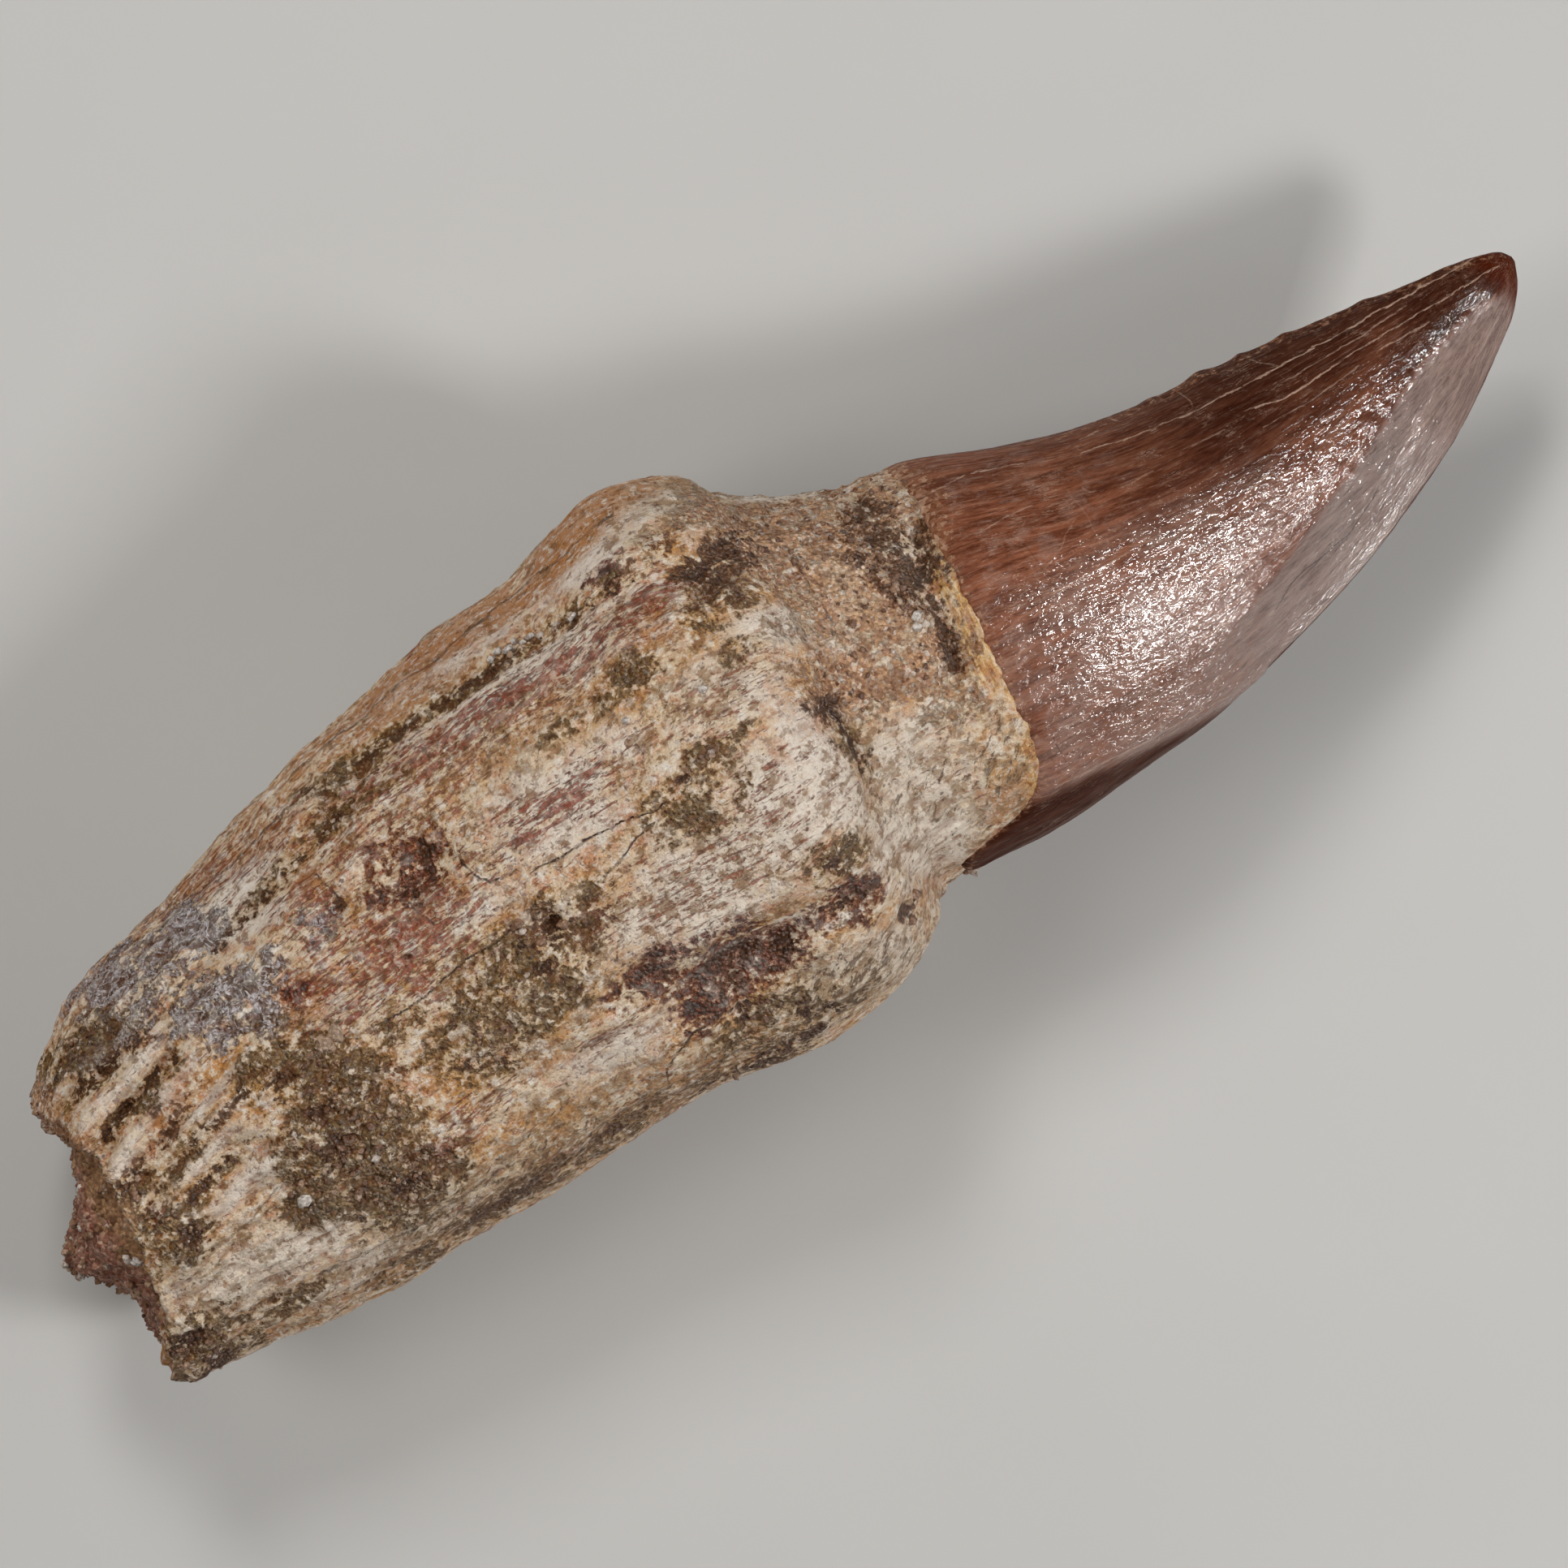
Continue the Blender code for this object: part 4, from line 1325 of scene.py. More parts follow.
    # Dark patches in the pits, the crevice and below the shoulder step: painted shade, with dark matter in
    # the pits and crevice
    dark: tuple[Patch, ...] = patches(
        (10.8, 3.8, 1, 2.4, 1.1), (1.9, -0.6, 0.5, 1.4, 0.45), (-8.8, -10.4, 1, 0.5, 0.8),
        (11.6, 4.4, 0.9, 1.3, 0.62), (10.5, 7.3, 0.5, 0.7, 0.6), (3.2, -0.2, 1.1, 0.4, 0.8),
        (-15.1, -2.3, 0.8, 0.6, 0.9), (-16.4, -4, 0.6, 0.4, 0.8), (-5.3, 0.45, 0.6, 0.22),
        (-39.7, -6, 0.5, 0.6, 0.8), (-24, 4.8, 0.25, 0.7, 0.65), (-21, 4.7, 0.5, 0.5, 0.58),
        (-18.8, 4.7, 0.7, 0.6, 0.6), (-20.3, 2.8, 0.25, 0.6, 0.6), (-17.4, 3, 0.3, 0.3, 0.6),
        (0.9, -11.5, 0.4, 0.4), (1, 9, 0.9, 0.5, 0.7), (3, 9.6, 1.2, 0.3, 0.7), (-30.6, -6, 0.9, 0.6, 0.8),
        (-30.2, -4.2, 1, 0.5, 0.7), (-28.4, -9.8, 1, 0.6, 0.7), (-22.3, 0.25, 0.3, 0.2),
        (-43.6, -10.6, 0.9, 0.5, 0.8), (-43, -12.4, 1, 0.5, 0.8), (-8.6, -9.8, 1.2, 0.8, 0.7),
        (-11.3, -8.2, 0.7, 0.4, 0.6), (-1.4, -9.6, 1.2, 0.35, 0.7), (-1.2, -7.2, 0.5, 0.5, 0.7),
        (10.4, 4.8, 1.8, 3, 0.8), (1.6, 8.4, 2.4, 1.8, 0.5), (-7.6, -9.3, 0.9, 0.5, 0.9),
        (-5.4, -10, 0.9, 0.5, 0.8), (-9.2, -11.8, 0.6, 0.5, 0.8), (-5, -13.8, 0.5, 0.4, 0.8),
        (-6.4, -13.2, 0.6, 0.4, 0.6), (0.9, -11.4, 0.55, 0.5, 0.9), (-31.4, -1.8, 0.9, 0.5, 0.6),
        (-15.4, -3, 0.8, 0.6, 0.8), (-24.6, -13.4, 8, 0.4, 0.3), (-10, -14.4, 5, 0.5, 0.5),
        (-22.4, -6.1, 0.6, 0.4, 0.7), (-20.4, -6.7, 0.6, 0.5, 0.8))
    # Dark lines in the grooves, between the ribs and in the crevice: painted shade, with dark matrix in the
    # grooves and crevice
    dark_lines: tuple[tuple[Line, float, float], ...] = (
        (((-1, 10.3), (-4, 10.5), (-9, 10.8), (-14, 10.9), (-19.5, 10.5)), 0.3, 0.36),
        (((-21.5, 8.6), (-22.5, 8.2), (-25, 7.7), (-28, 6.9), (-31, 6.1)), 0.3, 0.4),
        (((12.3, 5.4), (11, 3.6), (10.7, 1.4), (10.6, 0), (9.9, -2)), 0.55, 0.72),
        (((10.4, 8), (10.8, 6.4), (10.6, 4.6)), 0.6, 0.7), (((8.6, 6.2), (9.4, 4), (9.4, 2.2)), 0.5, 0.5),
        # Painted shadow below the shoulder step
        (((2.9, -0.6), (3, -2), (2.7, -4)), 0.35, 0.75),
        (((-41.3, 0.5), (-39.5, 1.4), (-37, 2.1), (-35.6, 2.3)), 0.45, 0.5),
        (((-41.5, 3.4), (-39, 3.7), (-36.4, 4)), 0.6, 0.42),
        (((-42.8, -2.6), (-40.5, -1.6), (-38.5, -1.1), (-36.4, -0.3)), 0.5, 0.48),
        (((-37.8, -2.2), (-35, -1.7), (-33, -1.2)), 0.4, 0.44),
        (((-38.8, -4.6), (-37, -3.8), (-35, -3.4), (-33.6, -3.6)), 0.4, 0.5),
        (((-38.4, 0.4), (-36.6, 0.2), (-34.6, 0.7)), 0.35, 0.38))
    cracks: tuple[tuple[Line, float], ...] = (
        (((-14.5, -12.6), (-14, -11.8), (-12, -11.2), (-11, -11.3)), 0.9),
        (((-17.3, 3.6), (-17.3, 2.8), (-17, 1.8), (-16.5, 1.2), (-14.8, 1.1)), 0.85),
        (((-14.4, 0.6), (-12.6, 0.35), (-11.6, 0.45), (-9.4, 0.35), (-7.2, -0.2), (-6.4, 0)), 1),
        (((-7.5, -0.6), (-9, -0.8), (-10.4, -1.5), (-11.4, -1.6)), 0.9),
        (((-26.4, -1.8), (-24, -2.1), (-22.5, -2), (-19.8, -1.5), (-17.8, -1.6), (-16.3, -1.2)), 0.95),
        (((-24.3, 6.8), (-24, 5.6), (-23.9, 4.6)), 0.8), (((-13.4, 0.3), (-13, -0.8)), 0.5),
        (((-21, 3.4), (-20.6, 2), (-20.2, 0.8)), 0.6), (((-26, -2.6), (-24.2, -1.4)), 0.5),
        (((-1, 13.6), (-6, 13.8), (-12, 13.3), (-18, 12.5), (-24, 11.5)), 0.7),
        (((-0.5, 9.3), (-4, 9.6), (-8, 9.9)), 0.5), (((0.3, 8.6), (0, 7), (-0.2, 5.6)), 0.6),
        (((5.7, 7.6), (5.5, 5.4), (5.6, 3.4), (5, 2.4)), 0.6),
        (((2.9, 0.4), (3.1, -1.4), (2.6, -3.6)), 0.9), (((-40.5, -7.6), (-37, -7.2), (-34.5, -6.4)), 0.5),
        (((-36, -11.6), (-30, -12), (-24, -11.8)), 0.6), (((-20, -12.9), (-14, -12.8), (-9, -13.4)), 0.6),
        (((-32, 8.9), (-26, 9.9), (-21, 10.7)), 0.6))
    red: tuple[Patch, ...] = patches(
        (-22.6, 0.7, 5.2, 2.7, 0.75), (-25.6, 4.6, 1.8, 2.4, 0.6), (-12, 8.7, 12, 1.7, 0.7),
        (-12, 2.8, 4.8, 1.3, 0.65), (-7, -4.5, 6.5, 2.2, 0.4), (-26.6, -9.2, 2, 0.8, 0.9),
        (-2, 8.9, 3, 0.8, 0.8), (-28, 9.6, 7, 1.6, 0.5), (-20, 6.4, 5, 1.8, 0.5),
        (-15.5, -8.9, 2, 0.5, 0.6), (-1.5, 2.8, 3, 1.6, 0.45), (-22, -13.2, 12, 0.8, 0.5),
        (-24, -8.5, 3, 0.8, 0.5), (-3, -3, 3, 2.5, 0.4))
    rust: tuple[Patch, ...] = patches(
        (-28.4, 1.4, 0.9, 1.2, 0.62), (-11.8, -7.8, 2.4, 1.5), (-8.8, -9.6, 3.2, 1.8, 1.15),
        (-4.6, -9.6, 2.6, 0.8, 0.9), (-6.6, -10.9, 2.2, 0.7, 0.8), (-0.9, -9.4, 1.1, 1.3, 0.8),
        (-13.7, -3.3, 1.4, 0.9, 0.9), (-40.7, -4.1, 0.7, 0.6, 0.9), (-15.6, -1.9, 1.4, 1, 0.8),
        (-19.8, 4.3, 2.6, 1.8, 0.75), (-26.9, -8.7, 0.8, 0.6, 0.8), (-26.2, -4.5, 0.9, 0.6, 0.7),
        (5.4, 4.6, 0.3, 2.4, 0.7), (-2, 11, 3, 0.7, 0.6), (-44.2, 4.2, 1.2, 1, 0.9),
        (12.9, 6.6, 0.6, 0.7, 0.7))
    ochre: tuple[Patch, ...] = patches(
        (-11.6, -10.4, 3.4, 0.8, 0.9), (0.6, 6.2, 1.6, 2, 0.85), (3.4, 0.6, 1.2, 1.6, 0.8),
        (-12.6, -6, 2.4, 0.8, 0.9), (-6, -8.2, 3, 0.7, 0.8), (2.2, 2, 1.6, 1.6, 0.7),
        (-20, -11, 4.4, 1.2, 0.7), (-11.4, -9.6, 1.2, 0.5), (-9.6, -11.7, 1.6, 1, 0.8),
        (-12.8, -11, 1.2, 0.4, 0.8), (-24, -6.5, 2.2, 2, 0.6), (-32, -2, 3, 1.5, 0.7),
        (-28.2, -3, 1.5, 2.2, 0.6), (-34, 0.6, 1.6, 0.8, 0.8), (-17, -0.8, 2.2, 0.6, 0.8),
        (-11, -2.7, 1.6, 0.9, 0.8), (-0.5, -6.1, 1.6, 0.4, 0.9), (-2, -12.6, 3.4, 1.2, 0.6),
        (6, -6.6, 4, 1.6, 0.6), (1.6, 10, 2.6, 2.4, 0.7), (2.4, 6.2, 2.4, 2, 0.7),
        (-19.6, 4.6, 2.6, 1.6, 0.7), (-3, 13.6, 3.4, 1.4, 0.6), (-18, -3.6, 3.4, 1.4, 0.8),
        (-12.4, -8.6, 2.6, 1, 0.7), (-14, -6.4, 3, 1.2, 0.65), (-7, -11.6, 3, 0.8, 0.7),
        (9.4, -9.2, 2.4, 1.4, 0.9), (3.2, -9.6, 1.6, 1.4, 0.8), (5.6, -2.6, 2.4, 0.9, 0.7),
        (-1, -11.2, 2.4, 0.8, 0.7), (4, 2.6, 0.6, 0.4, 0.9), (1.5, 4, 1.5, 1.2, 0.7),
        (-37, -0.3, 2.2, 0.8, 0.6), (-29, -9.5, 3.2, 2.2, 0.5), (-7, 5, 5, 1.5, 0.45),
        (-38, -6.5, 3, 1, 0.5))
    pale: tuple[Patch, ...] = patches(
        (-2.5, -12.8, 3.2, 1.4, 1.2), (-39, -9.4, 3.4, 1.6, 0.9), (3.6, -9.4, 1.8, 1.4, 1.2),
        (-31, -12.2, 6, 0.9, 0.85), (-34, -9.4, 3.4, 1.6, 1.15), (-10, 9.4, 7, 0.6, 0.85),
        (-1.6, -4.6, 2, 1.8, 1), (-35, -9, 3, 1.6, 0.8), (-6.6, 3.6, 1.4, 1.2, 0.8),
        # The patch at (0.7, -3.2) on the shoulder rim is pale bone made paler still: a painted highlight of
        # the lit rim
        (0.7, -3.2, 1.1, 3.4, 1.4), (6.4, -3.8, 1.5, 0.9, 1), (5.2, -5.8, 2.6, 3.2, 1),
        (7.2, 4.6, 1.2, 2.2, 0.6), (-3, 12.2, 2.6, 0.8, 0.9), (-22, 10.2, 2.2, 0.6, 0.7),
        (-29, 6.4, 2.4, 1, 0.8), (-5.6, 8.4, 2.4, 0.7, 0.6), (-34, -5, 1.6, 0.9, 0.9),
        (-2, -2.4, 2, 2.4, 1.1), (-11.6, 1.4, 3, 1.2, 0.9), (-8, -4.8, 6.2, 2.9, 0.9),
        (-11, 3.5, 5, 2, 0.75), (-38, -9.2, 6.4, 2.2, 0.6), (-28.6, 8, 2.6, 1.2, 1.1),
        (-1, 3, 3, 1.8, 0.75), (2.4, 4.6, 2.3, 0.9, 1.3, -35), (4, -8.4, 2.8, 2.4, 1.25),
        (5.6, -3.6, 2, 0.9, 0.8), (-15.2, -9.8, 4.2, 1.2, 0.8), (0, 12.6, 3.5, 0.9, 0.7),
        (-10, 12.2, 6.5, 0.4, 0.7), (-10, 10.1, 9.5, 0.4, 0.8), (-3, -12.6, 3.4, 1.3, 1.1),
        (-18, 0.1, 3.2, 0.9, 0.7), (-36.8, -2.9, 3, 0.4, 0.85, 10), (-38.8, 2.5, 3.4, 0.35, 0.85, 14),
        (-40.4, -0.7, 2.4, 0.4, 0.8, 30), (-36.8, 0.9, 2.4, 0.35, 0.7, 14),
        (-34.8, -0.5, 3.2, 0.3, 0.8, 16), (-36, -5.4, 3.4, 0.7, 0.75, 14), (-27.2, -0.3, 1, 0.8, 0.8))
    tan: tuple[Patch, ...] = patches(
        (8.3, -9.5, 1.8, 1, 0.85), (-33.6, 6, 1, 0.8, 0.6), (-36.6, 6.2, 2, 1, 0.7),
        (-37, 0.8, 2, 1.1, 0.95), (-28.4, 1.2, 1.6, 2, 1), (-27.2, -5, 0.9, 1.6, 0.9),
        (-16, -6, 1.2, 1.2, 0.8), (-19.4, 2.4, 1.8, 1.4, 0.7), (-24.6, 6.5, 1, 1.8, 0.7),
        (-2.6, 7.4, 1.8, 1.4, 0.85), (1.4, 7.2, 1.6, 1.4, 0.7), (-13, -10.2, 3, 0.8, 0.6),
        (1.6, -1, 1.3, 2.2, 0.75), (-9, -12.4, 2, 0.8, 0.6), (-20, -8.2, 1.6, 0.8, 0.6),
        (-13, 13.2, 14, 1.2, 1), (-3.6, 14.2, 5.5, 1.7, 0.95), (-16, 11.9, 10, 0.8, 0.75),
        (-25, -13.3, 16, 1.3, 0.75), (-38, 7.8, 6, 1.6, 0.9), (-8, 6.6, 7.5, 1, 0.7),
        (-30, 9.4, 8, 1.2, 0.65), (-43.4, 2, 1.6, 3.4, 0.8), (-12, -14, 9, 0.8, 0.8), (3, 13, 2, 2, 0.8),
        (-22, 8.4, 5, 1.6, 0.6), (-28, -4, 3, 6, 0.5), (4, -11.5, 3, 1, 0.7))
    mineral: tuple[Patch, ...] = patches(
        (-35.6, 7, 3.6, 1.6), (-32.4, 7.6, 2.3, 1.5), (-38, 4.7, 3, 0.7, 0.9), (-31.4, 3.5, 3.3, 1.2),
        (-30.3, 1.2, 1.1, 1, 0.9), (-33, 1.6, 1, 0.6, 0.9), (-25.7, 4.2, 1.2, 1, 0.8),
        (-36.6, 5.3, 2.2, 1, 0.9), (-31.6, 9, 1.2, 0.4, 0.9))

    @staticmethod
    def lay(group: tuple[Patch, ...], x: Array, y: Array, worn: Array) -> Array:
        """Paint a group of patches.

        Args:
            group: The patches.
            x: Places along the tooth.
            y: Places across the tooth.
            worn: Noise that wears their borders.

        Returns:
            Cover from 0 up, about one half on the borders.
        """
        cover = np.zeros(np.shape(x))
        for patch in group:
            inside = np.clip(1.22 - 0.72 * patch.reach(x, y) - 0.2 * worn, 0.0, 1.0)
            cover = np.maximum(cover, inside * patch.amount)
        return cover

    def painted(self, grid: Array, turn: Array) -> dict[str, Array]:
        """Paint every layer of the root.

        Args:
            grid: Places of the plain body.
            turn: Angles round the axis.

        Returns:
            Cover of each layer by name.
        """
        x, y = grid[..., 0], grid[..., 1]
        face = FORM.face(turn)
        hidden = 1 - face
        worn = self.noise.layered(grid, 0.55, 3)
        cloud = self.noise.layered(grid + 40.0, 0.13, 3)
        cloud2 = self.noise.layered(grid - 25.0, 0.17, 3)
        paint = {}
        for key in ("crust", "sand", "dark", "red", "rust", "ochre", "pale", "tan", "mineral",
                    "speck", "dentine"):
            paint[key] = self.lay(getattr(self, key), x, y, worn) * face
        # Dark lines: painted shade in the grooves, between the ribs, in the crevice and below the shoulder
        # step
        for line, width, amount in self.dark_lines:
            near = on_line(x, y, line, width) * amount * face
            paint["dark"] = np.maximum(paint["dark"], near)
        off, share = seams(x, y, self.cracks)
        paint["crack_off"], paint["crack"] = off, share * face
        sliver = on_line(x, y, ((3.8, 12.9), (6.0, 11.35), (7.4, 10.6), (8.6, 10.0)), 0.45)
        paint["pale"] = np.maximum(paint["pale"], 1.4 * sliver)
        for key in ("sand", "crust", "dark", "tan"):
            paint[key] *= 1 - soft_step(0.1, 0.5, sliver)
        neck = soft_step(1.0, 4.0, x)
        low_down = soft_step(9.0, 5.0, grid[..., 2])
        paint["crust"] += hidden * soft_step(0.18, 0.5, cloud) * (1 - neck) * 0.9 * low_down
        paint["speck"] += hidden * 0.6
        paint["sand"] += hidden * neck * soft_step(-0.3, 0.2, cloud2)
        paint["red"] += hidden * 0.7 * soft_step(-0.1, 0.4, cloud2)
        paint["ochre"] += hidden * 0.8 * soft_step(0.1, 0.45, -cloud2)
        paint["tan"] += hidden * 0.7 * soft_step(-0.1, 0.4, -cloud)
        paint["pale"] += hidden * 0.8 * soft_step(0.0, 0.4, -cloud - 0.3 * cloud2)
        return paint

    def fine_relief(self, grid: Array, fibre: Array, paint: dict[str, Array]) -> Array:
        """Give the fine relief that the fibres, crusts and pits make.

        Args:
            grid: Places of the plain body.
            fibre: Straightened places.
            paint: Cover of each layer.

        Returns:
            Height in mm.
        """
        noise = self.noise.layered
        crust = soft_step(0.3, 0.7, paint["crust"])
        sand = soft_step(0.3, 0.7, paint["sand"])
        bare = (1 - crust) * (1 - sand)
        left = soft_step(-28.0, -36.0, grid[..., 0])
        flank = 0.1 * soft_step(5.0, 9.0, grid[..., 1])
        fibrous = np.maximum(left, flank)
        neck = soft_step(0.0, 3.0, grid[..., 0])
        lumps = 0.15 * noise(grid, 0.4, 4)
        lumps += (0.08 + 0.12 * neck) * noise(grid, 1.1, 4)
        ribs = (0.05 + 0.1 * fibrous) * noise(fibre, (0.16, 1.1, 1.1), 3)
        threads = 0.06 * noise(fibre, (0.6, 2.2, 2.2), 2)
        flake = noise(fibre, (0.18, 0.5, 0.5), 4) * 2.6
        ledge = np.floor(flake) + soft_step(0.4, 0.6, flake - np.floor(flake))
        ledges = (0.035 + 0.1 * fibrous) * ledge
        gap, _ = self.noise.grains(grid, 2.0)
        fine_gap, _ = self.noise.grains(grid + 9.0, 3.2)
        pebbly = crust * (0.4 * noise(grid, 0.7, 4) + 0.26 * (0.5 - gap))
        sandy = sand * (0.14 * noise(grid, 1.4, 3) + 0.2 * (0.5 - fine_gap))
        lace = soft_step(0.3, 0.7, paint["mineral"]) * 0.12 * noise(grid, 1.6, 3)
        hollow = 0.18 * soft_step(0.3, 0.9, paint["rust"]) * noise(grid, 1.2, 3)
        pits = -0.28 * soft_step(0.3, 0.9, paint["dark"])
        return lumps + bare * (ribs + threads + lace + hollow) + pebbly + sandy + pits + ledges

    def surface(self) -> tuple[Array, Array, dict[str, Array]]:
        """Shape and paint the root's skin.

        Returns:
            Ring points, straightened places and painted layers.
        """
        turn = uneven_turns(self.count, UPPER_SHARE)[None, :]
        degrees = np.degrees(turn)
        round_ = np.stack((0 * turn[0], 11 * np.cos(turn[0]), 11 * np.sin(turn[0])), -1)
        start = smooth_curve(FORM.broken_rim, degrees) + 0.55 * self.noise.layered(round_, 0.55, 5, 0.65)
        end = smooth_curve(FORM.enamel_edge, degrees) + self.tuck
        share = np.linspace(0.0, 1.0, self.rings)[:, None]
        x = start + (end - start) * share
        turn = np.broadcast_to(turn, x.shape)
        grid = FORM.body(x, turn)
        fibre = FORM.fibres(grid, turn, np.full(x.shape, 13.0))
        paint = self.painted(grid, turn)
        rough = self.fine_relief(grid, fibre, paint) * soft_step(0.0, 0.02, share)
        hollow = blurred(rough, 4) - rough
        # Darker in the hollows of the fine relief: painted shade mixed with dirt
        paint["hollow_dirt_and_shade"] = soft_step(0.02, 0.14, hollow) * soft_step(0.0, 1.2, end - self.tuck - x)
        paint["hollow_dirt_and_shade"] *= 1 - 0.6 * soft_step(0.3, 0.7, paint["sand"])
        # Paler on the raised ridges of the fine relief: partly wear, partly painted light on the ridges
        paint["worn"] = soft_step(0.02, 0.14, -hollow)
        past = np.clip((x - end + self.tuck) / self.tuck, 0.0, 1.0)
        fill = 0.55 * on_line(x, grid[..., 1], FORM.long_groove, 0.6) * FORM.face(turn)
        near = soft_step(-1.4, 0.0, x - end + self.tuck)
        rise = FORM.root_relief(x, grid[..., 1], turn) + fill + rough * (1 - 0.8 * near) - 0.06 * near
        rise = rise - 0.8 * np.clip((past - 0.2) / 0.8, 0.0, 1.0) ** 1.5
        grid = grid + FORM.outward(grid) * rise[..., None]
        grid[..., 2] = np.maximum(grid[..., 2], 0.0)
        return grid, fibre, paint

    def broken_end(self, rim: Array) -> list[Array]:
        """Shape the broken bone wall and the hollow behind the plug.

        Args:
            rim: The first ring of the skin.

        Returns:
            Rings from the rim inwards.
        """
        rings = []
        for share in np.linspace(0.985, 0.72, 12):
            ring = BROKEN_MIDDLE + share * (rim - BROKEN_MIDDLE)
            inward = (1 - share) / 0.28
            ragged = self.noise.layered(ring, 0.9, 4)
            ring[:, 0] = rim[:, 0] + 0.25 * ragged + 0.5 * inward + 0.2 * math.sin(9 * inward)
            rings.append(ring)
        for share, depth in ((0.7, 1.4), (0.5, 2.0), (0.25, 2.0)):
            ring = BROKEN_MIDDLE + share * (rim - BROKEN_MIDDLE)
            ring[:, 0] = rim[:, 0] + depth
            rings.append(ring)
        return rings

    def build(self, material: bpy.types.Material) -> tuple[Array, Array, dict[str, Array]]:
        """Make the root.

        Args:
            material: Its finish.

        Returns:
            Its skin's ring points, their outward directions and its painted layers.
        """
        grid, fibre, paint = self.surface()
        end_rings = self.broken_end(grid[0])
        centre_end = end_rings[-1].mean(axis=0)
        tail = grid[-1]
        inner = [tail.mean(axis=0) + (tail - tail.mean(axis=0)) * s for s in (0.6, 0.25)]
        rings = end_rings[::-1] + list(grid) + inner
        points = np.concatenate(rings + [centre_end[None], tail.mean(axis=0)[None]])
        before, after = len(end_rings), len(inner)
        layers = {"fibre": padded(fibre, before, after), "stone": points}
        for key, values in paint.items():
            layers[key] = padded(values, before, after)
        ends = slice(0, before * self.count)
        layers["tan"][ends] = 0.9
        for key in ("crust", "pale", "mineral", "red"):
            layers[key][ends] *= 0.4
        piece = Piece("root", Slot.BONE)
        piece.add(points, shell_faces(len(rings), self.count), layers)
        piece.build(material)
        return grid, FORM.outward(grid), paint


@dataclass
class Plug:
    """The sandy plug in the broken end of the root."""

    rings: int = 110
    count: int = 300
    reach: float = 0.965
    depth: float = 3.0
    noise: StoneNoise = field(default_factory=lambda: StoneNoise(23))

    @staticmethod
    def face_x(y: Array, z: Array) -> Array:
        """Place the plug's face along the tooth.

        Args:
            y: Places across the tooth.
            z: Heights.

        Returns:
            Places along the tooth.
        """
        plug = -43.9 - 3.3 * np.exp(-((y + 4.0) / 2.6) ** 2 - ((z - 10.5) / 4.2) ** 2)
        plug -= 1.7 * np.exp(-((y + 9.6) / 2.4) ** 2 - ((z - 8.0) / 4.5) ** 2)
        plug += 0.7 * np.exp(-((y - 1.5) / 2.0) ** 2 - ((z - 12.0) / 5.0) ** 2)
        return plug

    def build(self, rim: Array, material: bpy.types.Material) -> Array:
        """Make the plug.

        Args:
            rim: The broken rim of the bone.
            material: Its finish.

        Returns:
            Ring points of its face.
        """
        pick = np.linspace(0, len(rim), self.count, endpoint=False).astype(int)
        rim = rim[pick]
        rings = []
        for share in np.linspace(self.reach, 0.01, self.rings):
            ring = BROKEN_MIDDLE + share * (rim - BROKEN_MIDDLE)
            inner = self.face_x(ring[:, 1], ring[:, 2])
            wall = soft_step(0.7, 0.965, np.array(share))
            ring[:, 0] = inner * (1 - wall) + (rim[:, 0] + 0.25) * wall
            gap, _ = self.noise.grains(ring, 2.1)
            lump = 0.5 * self.noise.layered(ring, 0.75, 4) + 0.45 * (0.5 - gap)
            ring[:, 0] -= lump * (1 - 0.5 * wall)
            rings.append(ring)
        back = rings[0].copy()
        back[:, 0] += self.depth
        middle = BROKEN_MIDDLE.copy()
        middle[0] = back[:, 0].mean()
        rings = [back] + rings
        front = rings[-1].mean(axis=0)
        points = np.concatenate(rings + [middle[None], front[None]])
        _, mark = self.noise.grains(points, 1.9)
        piece = Piece("sand_plug", Slot.MATRIX)
        rim_side = soft_step(-44.6, -43.0, points[:, 0])
        paint = {"stone": points, "tone": mark * 0.7, "coat": np.ones(len(points)), "ochre": rim_side}
        piece.add(points, shell_faces(len(rings), self.count, flipped=True), paint)
        piece.build(material)
        return np.stack(rings[6:])


